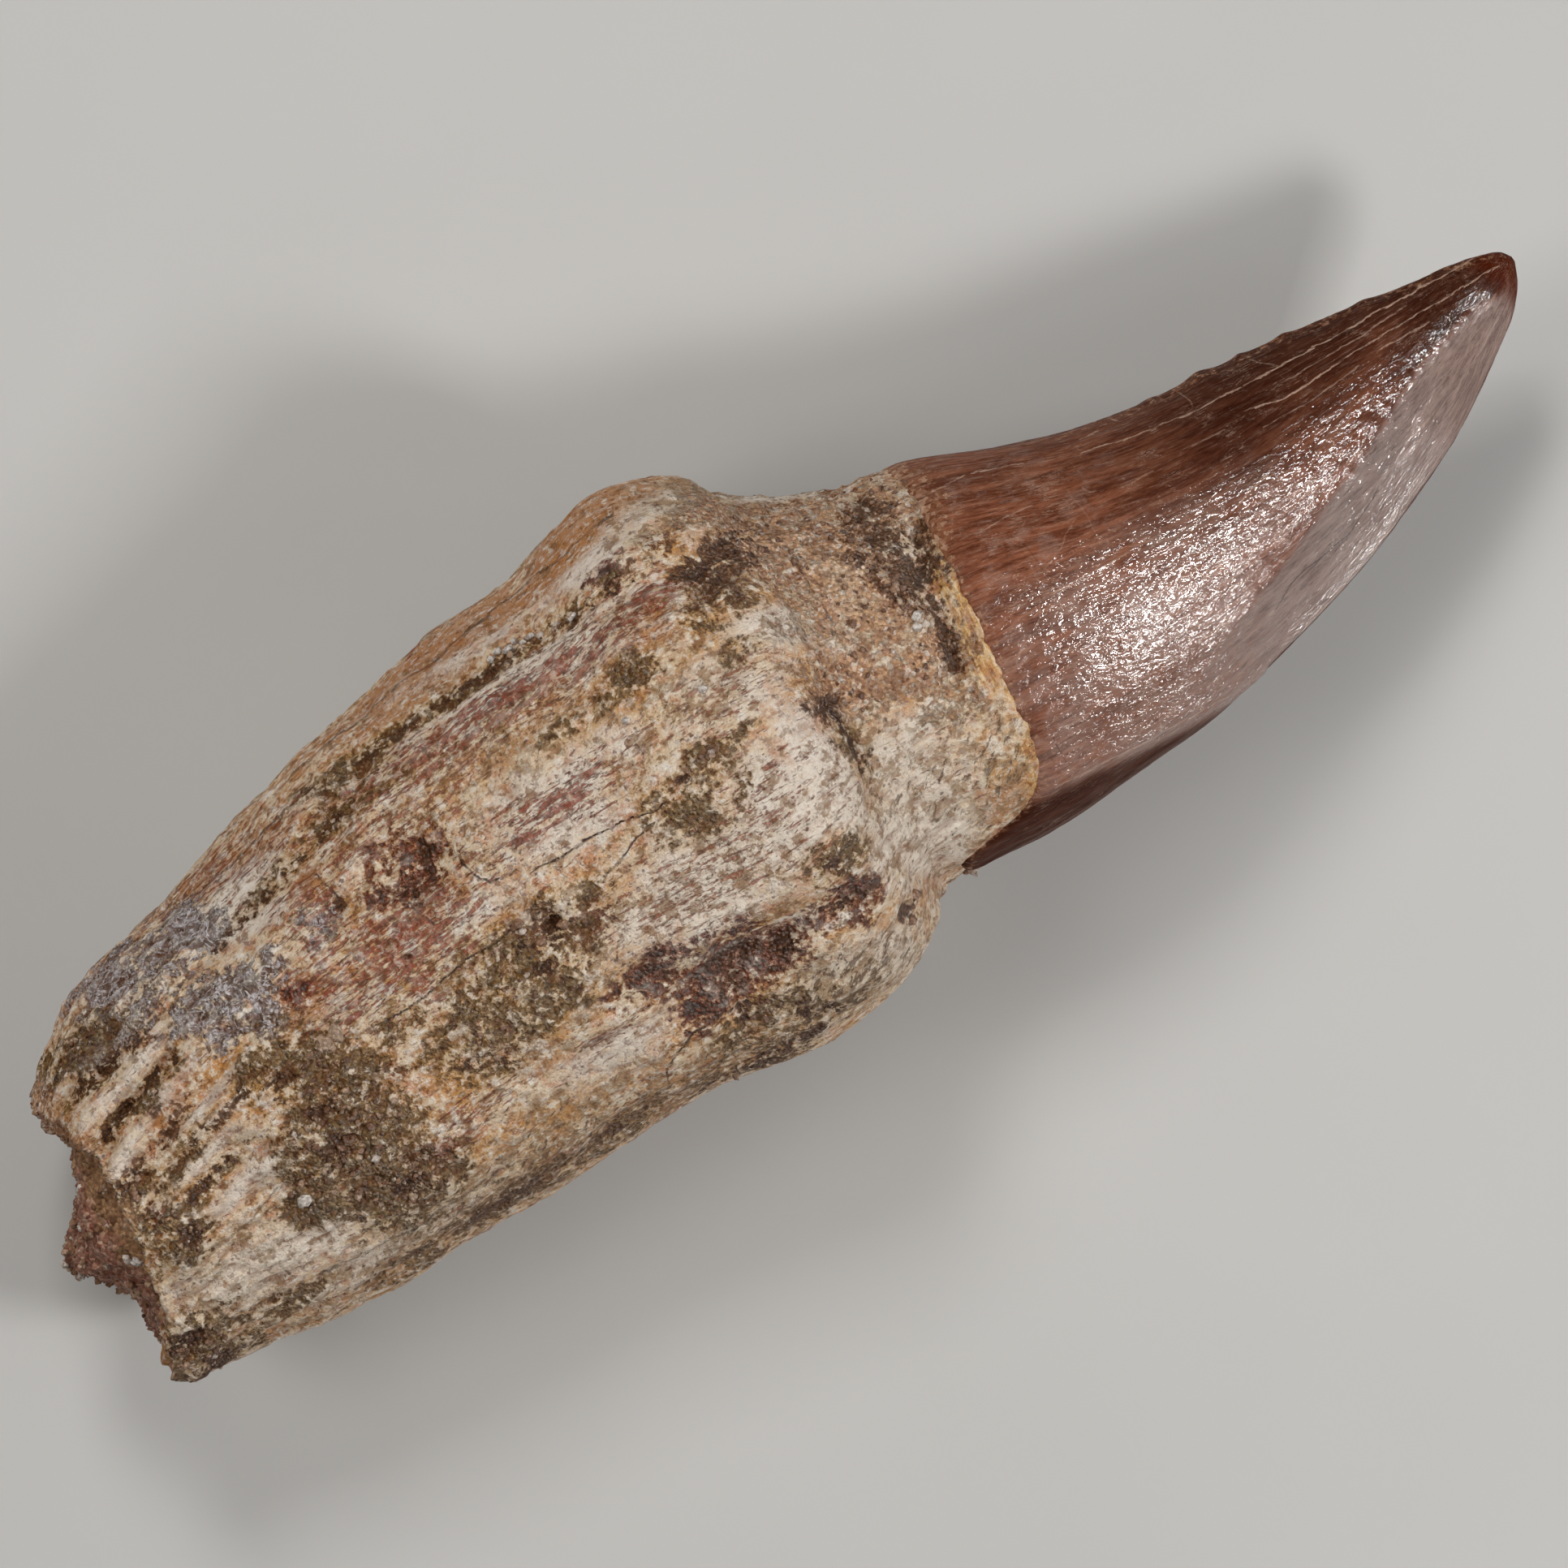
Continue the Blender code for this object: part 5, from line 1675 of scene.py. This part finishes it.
@dataclass
class Crown:
    """The enamel crown."""

    rings: int = 250
    count: int = 380
    proud: float = 0.07
    noise: StoneNoise = field(default_factory=lambda: StoneNoise(37))
    threads: tuple[tuple[Line, float], ...] = (
        (((21.5, 4), (24, 3.3), (28, 2.75), (31, 2.45)), 0.8),
        (((31, 2.45), (33, 2.3), (36, 2.2), (40, 2), (45.6, 1.75)), 1), (((12.8, 6.4), (16, 6.15)), 0.6),
        (((16, 6.1), (17.5, 5.6), (18.9, 5.05)), 1),
        (((30.2, 1.3), (32.5, 0.75), (38, 0.85), (46.5, 0.75)), 0.8),
        (((33, 1.5), (37, 1.4), (41, 1.5)), 0.55), (((38, 0.3), (41.5, 0.15)), 0.6),
        (((32.2, 3.6), (32.6, 3), (33.2, 2.4)), 0.5), (((28, 4.2), (28.3, 3.2), (28.2, 2.8)), 0.35),
        (((26.8, -2.9), (28, -2.4), (29.5, -2.15)), 0.9),
        (((12.6, -3.5), (14, -2.8), (15, -2.3), (15.6, -1.2)), 0.35),
        (((16.2, -0.3), (18, 0.3), (19.5, 1.2)), 0.25),
        (((13.6, 3.4), (15, 3.2), (17, 3.1), (18, 2.9)), 0.5), (((16, -1.4), (19, -1.7), (21, -1.9)), 0.5),
        (((19.9, 3), (20, 1.4), (19.8, -1.4)), 0.15), (((24, 5), (24.6, 4.3)), 0.5),
        (((22, 4.6), (23.4, 4.5)), 0.5), (((30.5, 0), (34, -0.1), (37, 0.1)), 0.5),
        (((26, 1.2), (29, 1)), 0.4), (((22, 1.3), (24.5, 1.1)), 0.35),
        (((20.6, 2.6), (20.8, 1.9), (21.6, 1.5)), 0.4),
        (((11, -10), (14, -10.25), (18, -10.6), (22, -10.9), (24.6, -10.9)), 0.6),
        # This pale line along the lower edge is a painted highlight of the edge, not a crack
        (((26.6, -10.2), (29, -9.6), (32, -8.7), (34.4, -7.8)), 1),
        (((16.4, -11.1), (17.2, -10.9), (18, -9.6)), 0.5), (((31.6, -8.4), (32.4, -7.9)), 0.5),
        (((37, -4.6), (38.2, -4.2), (39.4, -4)), 0.6))
    scores: tuple[tuple[Line, float], ...] = (
        (((26, -8.5), (28, -7.6), (30, -7.35), (32, -7.1), (34.5, -5.9)), 0.95),
        (((20.5, -6), (24, -6.2), (26, -5.8), (28.5, -5.9)), 0.5),
        (((29.4, 1.6), (30.4, 0.6), (30.6, 0)), 0.6), (((28.8, 3.2), (29.8, 2.4)), 0.5),
        (((43.3, 1.2), (43.5, -0.6)), 0.7), (((44.2, 1.4), (44.2, -0.4)), 0.7),
        (((42.1, 1.7), (42.2, 0)), 0.6), (((45.3, 1.3), (45.3, 0)), 0.7),
        (((40.9, 1.2), (41.2, -0.9)), 0.5), (((16.4, 1.7), (16.6, -2)), 0.35),
        (((31, -6.6), (32.4, -6.5)), 0.5), (((12.4, -7.6), (12.3, -9.4)), 0.5))
    under_line: Line = ((4, -10), (10.6, -10.2), (16.5, -10.9), (20, -11.2), (26, -11.6))
    bumps: tuple[Patch, ...] = patches(
        (37.6, -4.9, 1.2, 0.5, 0.14, 25), (38.4, -4.2, 0.8, 0.4, 0.1, 20), (28.3, -2.4, 1.6, 0.4, 0.07, 20),
        (36.6, -5.4, 0.5, 0.3, 0.08), (31, -3.6, 0.7, 0.4, 0.1), (32.6, -3.8, 0.8, 0.5, 0.12),
        (34.2, -3.4, 0.7, 0.5, 0.11), (35.6, -2.9, 0.6, 0.5, 0.1), (33.4, -4.6, 0.6, 0.3, 0.1),
        (22.4, -10.4, 1.2, 0.5, 0.08), (25, -9.4, 0.8, 0.5, 0.07))
    keel_bumps: tuple[Patch, ...] = patches(
        (29.6, 0, 0.7, 0, 0.24), (34.6, 0, 0.5, 0, 0.14), (32, 0, 0.35, 0, 0.12), (39.2, 0, 0.5, 0, 0.1),
        (26.6, 0, 0.5, 0, 0.1))

    def painted(self, grid: Array, turn: Array) -> dict[str, Array]:
        """Paint every layer of the crown.

        Args:
            grid: Places of the plain crown.
            turn: Angles round the axis.

        Returns:
            Cover of each layer by name.
        """
        x, y = grid[..., 0], grid[..., 1]
        face = FORM.face(turn)
        cloud = self.noise.layered(grid, 0.2, 3)
        crest = smooth_curve(FORM.crest_y, x)
        strip_y = smooth_curve(FORM.strip_line, x)
        paint = {}
        up = soft_step(-3.0, 3.0, y - crest - 1.5 + 1.2 * cloud)
        under = soft_step(0.3, -0.5, y - smooth_curve(self.under_line, x)) * soft_step(26.0, 20.0, x)
        tip = soft_step(33.0, 42.0, x) * soft_step(-0.2, 0.4, y - strip_y)
        paint["shade"] = np.maximum(np.maximum(up * soft_step(17.0, 31.0, x), under), tip) * face
        paint["gloss"] = soft_step(3.0, 0.5, y - crest) * soft_step(41.0, 36.0, x)
        paint["gloss"] *= 1 - 0.4 * np.exp(-((x - 28.9) / 1.5) ** 2)
        paint["gloss"] *= 1 - 0.6 * np.exp(-((x - 27.5) / 3.0) ** 2 - ((y + 6.4) / 1.5) ** 2)
        paint["gloss"] *= (0.3 + 0.7 * soft_step(12.5, 17.5, x)) * (1 - under) * face
        paint["glint"] = np.exp(-((y - strip_y - 0.35) / 0.55) ** 2) * soft_step(33.0, 37.0, x)
        paint["glint"] *= soft_step(45.6, 44.6, x)
        ridged = 0.7 * np.exp(-((x - 24.4) / 2.6) ** 2) * soft_step(-6.4, -8.0, y)
        paint["glint"] = np.maximum(paint["glint"], ridged) * (1 - under) * face
        # Pale rosy patches on the base of the upper face: rosy tint with painted sheen
        paint["veil"] = soft_step(28.0, 18.0, x) * face * (1 - under)
        paint["shade"] += (1 - face) * 0.8
        # Rosy grey painted sheen on the lower side, towards the base
        low_side = soft_step(1.0, -4.0, y + 0.8 * cloud)
        paint["rose"] = soft_step(36.0, 22.0, x) * (0.7 + 0.5 * cloud) * low_side * face * (1 - under)
        paint["rose"] *= 0.35 + 0.65 * soft_step(11.5, 18.0, x - 0.3 * y)
        high = smooth_curve(FORM.high_edge, x)
        rim = soft_step(0.9, 0.2, high - y) * soft_step(17.0, 22.0, x)
        start = smooth_curve(FORM.enamel_edge, np.degrees(turn))
        upper = soft_step(2.0, 6.0, y)
        dust = (0.35 + 0.7 * upper) * soft_step(0.8, 0.0, x - start)
        dust += 0.6 * upper * soft_step(3.0, 0.0, x - start)
        paint["dust"] = np.maximum(dust, 0.3 * rim)
        # Lighter lower side of the crown: painted sheen
        paint["low"] = soft_step(-3.5, -7.5, y + 0.8 * cloud) * soft_step(30.0, 24.0, x) * face
        paint["low"] *= (1 - under) * soft_step(13.0, 19.0, x)
        # The flat strip along the lower edge, which takes a painted mauve-grey sheen
        strip = soft_step(0.25, -0.25, y - strip_y) * soft_step(20.0, 30.0, x)
        paint["strip"] = strip * face * soft_step(46.8, 45.5, x)
        paint["amber"] = soft_step(44.6, 46.4, x + 0.3 * (y - 0.6)) * 0.8
        for key, group in (("thread", self.threads), ("score", self.scores)):
            paint[key + "_off"], share = seams(x, y, group)
            paint[key] = share * face
        return paint

    def relief(self, grid: Array, fibre: Array, turn: Array, paint: dict[str, Array]) -> Array:
        """Give the ridges, carinae and cracks of the enamel.

        Args:
            grid: Places of the plain crown.
            fibre: Straightened places.
            turn: Angles round the axis.
            paint: Painted layers.

        Returns:
            Height in mm.
        """
        noise = self.noise.layered
        x, y = grid[..., 0], grid[..., 1]
        face = FORM.face(turn)
        smooth = 1 - 0.7 * paint["strip"]
        rise = 0.05 * noise(fibre, (0.06, 0.7, 0.7), 2)
        rise += 0.035 * noise(fibre, (0.35, 0.9, 0.9), 2) * smooth
        rise += 0.018 * noise(fibre, (0.25, 2.2, 2.2), 2) * smooth
        rise += 0.012 * noise(grid, 1.8, 2) * smooth
        rise += 0.22 * on_line(x, y, FORM.low_carina, 0.6) * face
        away = y - smooth_curve(FORM.strip_line, x)
        bevel = np.where(away > 0, np.clip(1.0 - away, 0.0, 1.0), np.exp(np.minimum(away, 0.0)))
        crest = bevel * soft_step(28.0, 34.0, x) * soft_step(46.6, 45.0, x) * face
        rise -= 0.12 * crest
        rise += 0.1 * crest * noise(grid, 1.3, 2)
        edge = np.exp(-((y - smooth_curve(FORM.low_edge, x) - 0.34) / 0.24) ** 2)
        rise += 0.2 * edge * soft_step(25.5, 27.0, x) * soft_step(35.5, 34.0, x) * face
        for bump in self.bumps:
            rise += bump.mound(x, y) * face
        for bump in self.keel_bumps:
            away = np.hypot((x - bump.x) / bump.half_x, (y - smooth_curve(FORM.high_edge, x)) / 0.7)
            rise += bump.amount * np.exp(-away ** 2)
        return rise + 0.08 * soft_step(30.0, 16.0, x)

    def build(self, material: bpy.types.Material) -> None:
        """Make the crown.

        Args:
            material: Its finish.
        """
        turn = uneven_turns(self.count, UPPER_SHARE)[None, :]
        start = smooth_curve(FORM.enamel_edge, np.degrees(turn))
        spots = np.stack((start[0], 9 * np.cos(turn[0]), 9 * np.sin(turn[0])), -1)
        start = start - 0.2 + 0.35 * self.noise.layered(spots, 0.6, 5, 0.65)
        share = np.linspace(0.0, 1.0, self.rings)[:, None]
        share = share - 0.035 * np.sin(2 * math.pi * share)
        x = start + (FORM.tip[0] - 0.02 - start) * share
        turn = np.broadcast_to(turn, x.shape)
        grid = FORM.body(x, turn)
        radius = np.sqrt(np.maximum(grid[..., 1].max(axis=1) - grid[..., 1].min(axis=1), 0.1) * 4.5)
        fibre = FORM.fibres(grid, turn, np.broadcast_to(radius[:, None], x.shape))
        paint = self.painted(grid, turn)
        rise = self.relief(grid, fibre, turn, paint) * soft_step(47.3, 46.0, x)
        lip = soft_step(0.2, 1.1, x - start)
        rise += self.proud * lip - 0.06 * (1 - lip) - 0.3 * soft_step(0.25, 0.0, x - start)
        grid = grid + FORM.outward(grid) * rise[..., None]
        self._close(grid, fibre, paint, material)

    def _close(self, grid: Array, fibre: Array, paint: dict[str, Array],
               material: bpy.types.Material) -> None:
        """Close the crown at its tip and inside the neck, and make the piece.

        Args:
            grid: Ring points of the enamel.
            fibre: Straightened places.
            paint: Painted layers.
            material: Its finish.
        """
        base = grid[0]
        middle = base.mean(axis=0)
        inner = []
        for s, deep in ((0.965, 0.5), (0.9, 1.2), (0.5, 1.5)):
            ring = middle + (base - middle) * s
            ring[:, 0] = base[:, 0] + deep
            inner.append(ring)
        rings = inner[::-1] + list(grid)
        tip = np.array(FORM.tip)
        middle[0] += 1.5
        points = np.concatenate(rings + [middle[None], tip[None]])
        layers = {"fibre": padded(fibre, len(inner), 0), "stone": points}
        for key, values in paint.items():
            layers[key] = padded(values, len(inner), 0)
        piece = Piece("crown", Slot.ENAMEL)
        piece.add(points, shell_faces(len(rings), self.count), layers)
        piece.build(material)


@dataclass
class Grains:
    """Sand grains stuck on the crusts, the neck and the plug."""

    many: int = 1100
    on_plug: int = 260
    smallest: float = 0.07
    largest: float = 0.22
    seed: int = 5
    beads: tuple[tuple[float, float, float, float], ...] = (
        (5.3, -11.75, 0.45, 0.9), (5, -11.6, 0.3, 0.3), (-33.7, -7.7, 0.36, 1), (-29.5, -7.8, 0.28, 0.95),
        (-28.3, -1.3, 0.6, 0.8), (-27.7, -1.2, 0.45, 0.85), (9.7, 1.2, 0.3, 1), (9.4, 0.8, 0.25, 1),
        (9.9, 0.7, 0.2, 0.95), (-10.4, 11.1, 0.26, 1), (-10, 11.3, 0.22, 1), (-9.4, 11, 0.3, 1),
        (-9, 11.3, 0.24, 1), (-8.6, 10.9, 0.22, 1), (-8.1, 11.1, 0.26, 1), (-7.7, 10.9, 0.2, 0.95),
        (-5.9, 10.6, 0.2, 1), (-5.5, 10.8, 0.18, 1), (-6.6, 10.9, 0.18, 0.95), (-1.8, 3.8, 0.2, 1),
        (-6.1, 4.5, 0.22, 1), (-16.5, -1.4, 0.35, 0.4), (-14.4, -2.6, 0.3, 0.6), (-15.9, -2.8, 0.28, 0.5),
        (0.9, -12.2, 0.3, 0.6), (1.8, -11, 0.28, 0.5))

    @staticmethod
    def ball() -> tuple[Array, Array]:
        """Make a small round ball of triangles.

        Returns:
            Its points and faces.
        """
        work = bmesh.new()
        bmesh.ops.create_icosphere(work, subdivisions=2, radius=1.0)
        points = np.array([v.co[:] for v in work.verts])
        faces = np.array([[v.index for v in f.verts] for f in work.faces])
        work.free()
        return points, faces

    def build(self, grid: Array, outward: Array, paint: dict[str, Array], plug: Array,
              material: bpy.types.Material) -> None:
        """Scatter the grains.

        Args:
            grid: Ring points of the root's skin.
            outward: Outward directions there.
            paint: Painted layers of the root.
            plug: Ring points of the plug's face.
            material: Their finish.
        """
        draw = np.random.default_rng(self.seed)
        upper = grid[..., 2].ravel() > 9.0
        flat, way = grid.reshape(-1, 3), outward.reshape(-1, 3)
        cover = np.maximum(soft_step(0.5, 0.9, paint["crust"]), soft_step(0.5, 0.9, paint["sand"]))
        weight = cover.ravel() * (flat[:, 2] > 0.6) * (np.abs(way[:, 2]) > 0.35)
        ring = np.linalg.norm(np.roll(grid, -1, axis=1) - grid, axis=2).ravel()
        weight = weight * ring
        chosen = draw.choice(len(flat), self.many, p=weight / weight.sum(), replace=False)
        points, faces = self.ball()
        piece = Piece("sand_grains", Slot.MATRIX)
        sites = [(spot, self.smallest + (self.largest - self.smallest) * draw.random() ** 2.2,
                  draw.random() ** 1.3 * 0.95) for spot in chosen]
        for x, y, size, shade in self.beads:
            away = np.hypot(flat[:, 0] - x, flat[:, 1] - y) + 99.0 * ~upper
            sites.append((int(np.argmin(away)), size, shade))
        places = [(flat[spot] + way[spot] * size * 0.1, size, shade) for spot, size, shade in sites]
        face = plug.reshape(-1, 3)
        for spot in draw.choice(len(face), self.on_plug, replace=False):
            size = 0.08 + 0.2 * draw.random() ** 2
            places.append((face[spot] - (0.3 * size, 0.0, 0.0), size, 0.25 + 0.75 * draw.random()))
        for place, size, shade in places:
            squash = size * draw.uniform(0.7, 1.2, 3)
            bent = points * squash * (1 + 0.2 * draw.normal(size=(len(points), 1)))
            shape = bent + place
            values = np.full(len(points), shade)
            piece.add(shape, [faces], {"stone": shape, "tone": values, "coat": 0 * values,
                                       "ochre": 0 * values})
        piece.build(material)


@dataclass(frozen=True)
class Studio:
    """Pale floor, soft lights and the camera over the tooth."""

    floor_half: float = 1200.0
    aim: tuple[float, float] = (-0.93, -2.51)
    roll: float = -32.0
    height: float = 362.0
    lens: float = 150.0
    floor_dark: Colour = tone(202, 202, 201)
    floor_pale: Colour = tone(210, 210, 210)
    air: Colour = (1.0, 0.97, 0.94)
    air_strength: float = 0.095

    def floor(self) -> None:
        """Lay the pale floor."""
        mesh = bpy.data.meshes.new("floor")
        h = self.floor_half * MM
        mesh.from_pydata([(-h, -h, 0), (h, -h, 0), (h, h, 0), (-h, h, 0)], [], [(0, 1, 2, 3)])
        floor = bpy.data.objects.new("floor", mesh)
        bpy.context.scene.collection.objects.link(floor)
        g = Graph("floor")
        where = g.node("TexCoord", {}).outputs["Object"]
        mottle = g.noise(where, 30.0, 3.0)
        colour = g.mix(mottle, self.floor_dark, self.floor_pale)
        mesh.materials.append(g.dress(Base_Color=colour, Roughness=0.7, Specular_IOR_Level=0.2))

    def lamp(self, name: str, at: Triple, size: tuple[float, float],
             power: float, colour: Colour = (1.0, 1.0, 1.0), shades: bool = True) -> None:
        """Hang a soft lamp that faces the tooth.

        Args:
            name: Its name.
            at: Its place in mm.
            size: Sides of its face in mm.
            power: Its power in watts.
            colour: Its tint.
            shades: Whether it lights matt finishes too, not only the gloss.
        """
        light = bpy.data.lights.new(name, "AREA")
        light.shape = "RECTANGLE"
        light.size = size[0] * MM
        light.size_y = size[1] * MM
        light.energy = power
        light.color = colour
        lamp = bpy.data.objects.new(name, light)
        lamp.visible_diffuse = shades
        lamp.visible_camera = False
        lamp.location = Vector(at) * MM
        way = Vector((0.0, 0.0, 10.0)) * MM - lamp.location
        lamp.rotation_euler = way.to_track_quat("-Z", "Y").to_euler()
        bpy.context.scene.collection.objects.link(lamp)

    def camera(self) -> None:
        """Set the camera over the tooth."""
        data = bpy.data.cameras.new("camera")
        data.lens = self.lens
        data.sensor_width = 36.0
        data.clip_start = 0.01
        camera = bpy.data.objects.new("camera", data)
        camera.location = ((self.aim[0] - ORIGIN[0]) * MM, (self.aim[1] - ORIGIN[1]) * MM,
                           self.height * MM)
        camera.rotation_euler = (0.0, 0.0, math.radians(self.roll))
        bpy.context.scene.collection.objects.link(camera)
        bpy.context.scene.camera = camera

    def build(self) -> None:
        """Set up the studio."""
        self.floor()
        self.lamp("key_lamp", (60.0, 225.0, 300.0), (100.0, 100.0), 0.48, (1.0, 0.98, 0.94))
        self.lamp("far_lamp", (-200.0, 110.0, 320.0), (170.0, 170.0), 0.36, (1.0, 0.97, 0.92))
        self.lamp("front_lamp", (150.0, -230.0, 260.0), (70.0, 70.0), 0.6, (1.0, 0.98, 0.95))
        self.lamp("spark_lamp", (150.0, -174.0, 294.0), (42.0, 54.0), 0.9, shades=False)
        self.lamp("side_lamp", (190.0, -184.0, 270.0), (42.0, 56.0), 0.85, shades=False)
        self.lamp("tip_lamp", (254.0, -134.0, 230.0), (40.0, 56.0), 1.7, shades=False)
        self.lamp("low_lamp", (160.0, -330.0, 190.0), (40.0, 40.0), 0.3, shades=False)
        self.lamp("rim_lamp", (150.0, -340.0, 24.0), (50.0, 26.0), 0.35, shades=False)
        world = bpy.data.worlds.new("world")
        world.use_nodes = True
        sky = world.node_tree.nodes["Background"]
        sky.inputs["Color"].default_value = (*self.air, 1.0)
        sky.inputs["Strength"].default_value = self.air_strength
        bpy.context.scene.world = world
        bpy.context.scene.view_settings.view_transform = "Standard"
        self.camera()


def main() -> None:
    """Build the tooth and its studio."""
    logging.basicConfig(level=logging.INFO, format="%(name)s %(message)s")
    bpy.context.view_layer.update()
    bone, enamel, sand = BoneFinish().material(), EnamelFinish().material(), GrainFinish().material()
    grid, outward, paint = Root().build(bone)
    plug = Plug().build(grid[0], sand)
    Crown().build(enamel)
    Grains().build(grid, outward, paint, plug, sand)
    Studio().build()


if __name__ == "__main__":
    main()
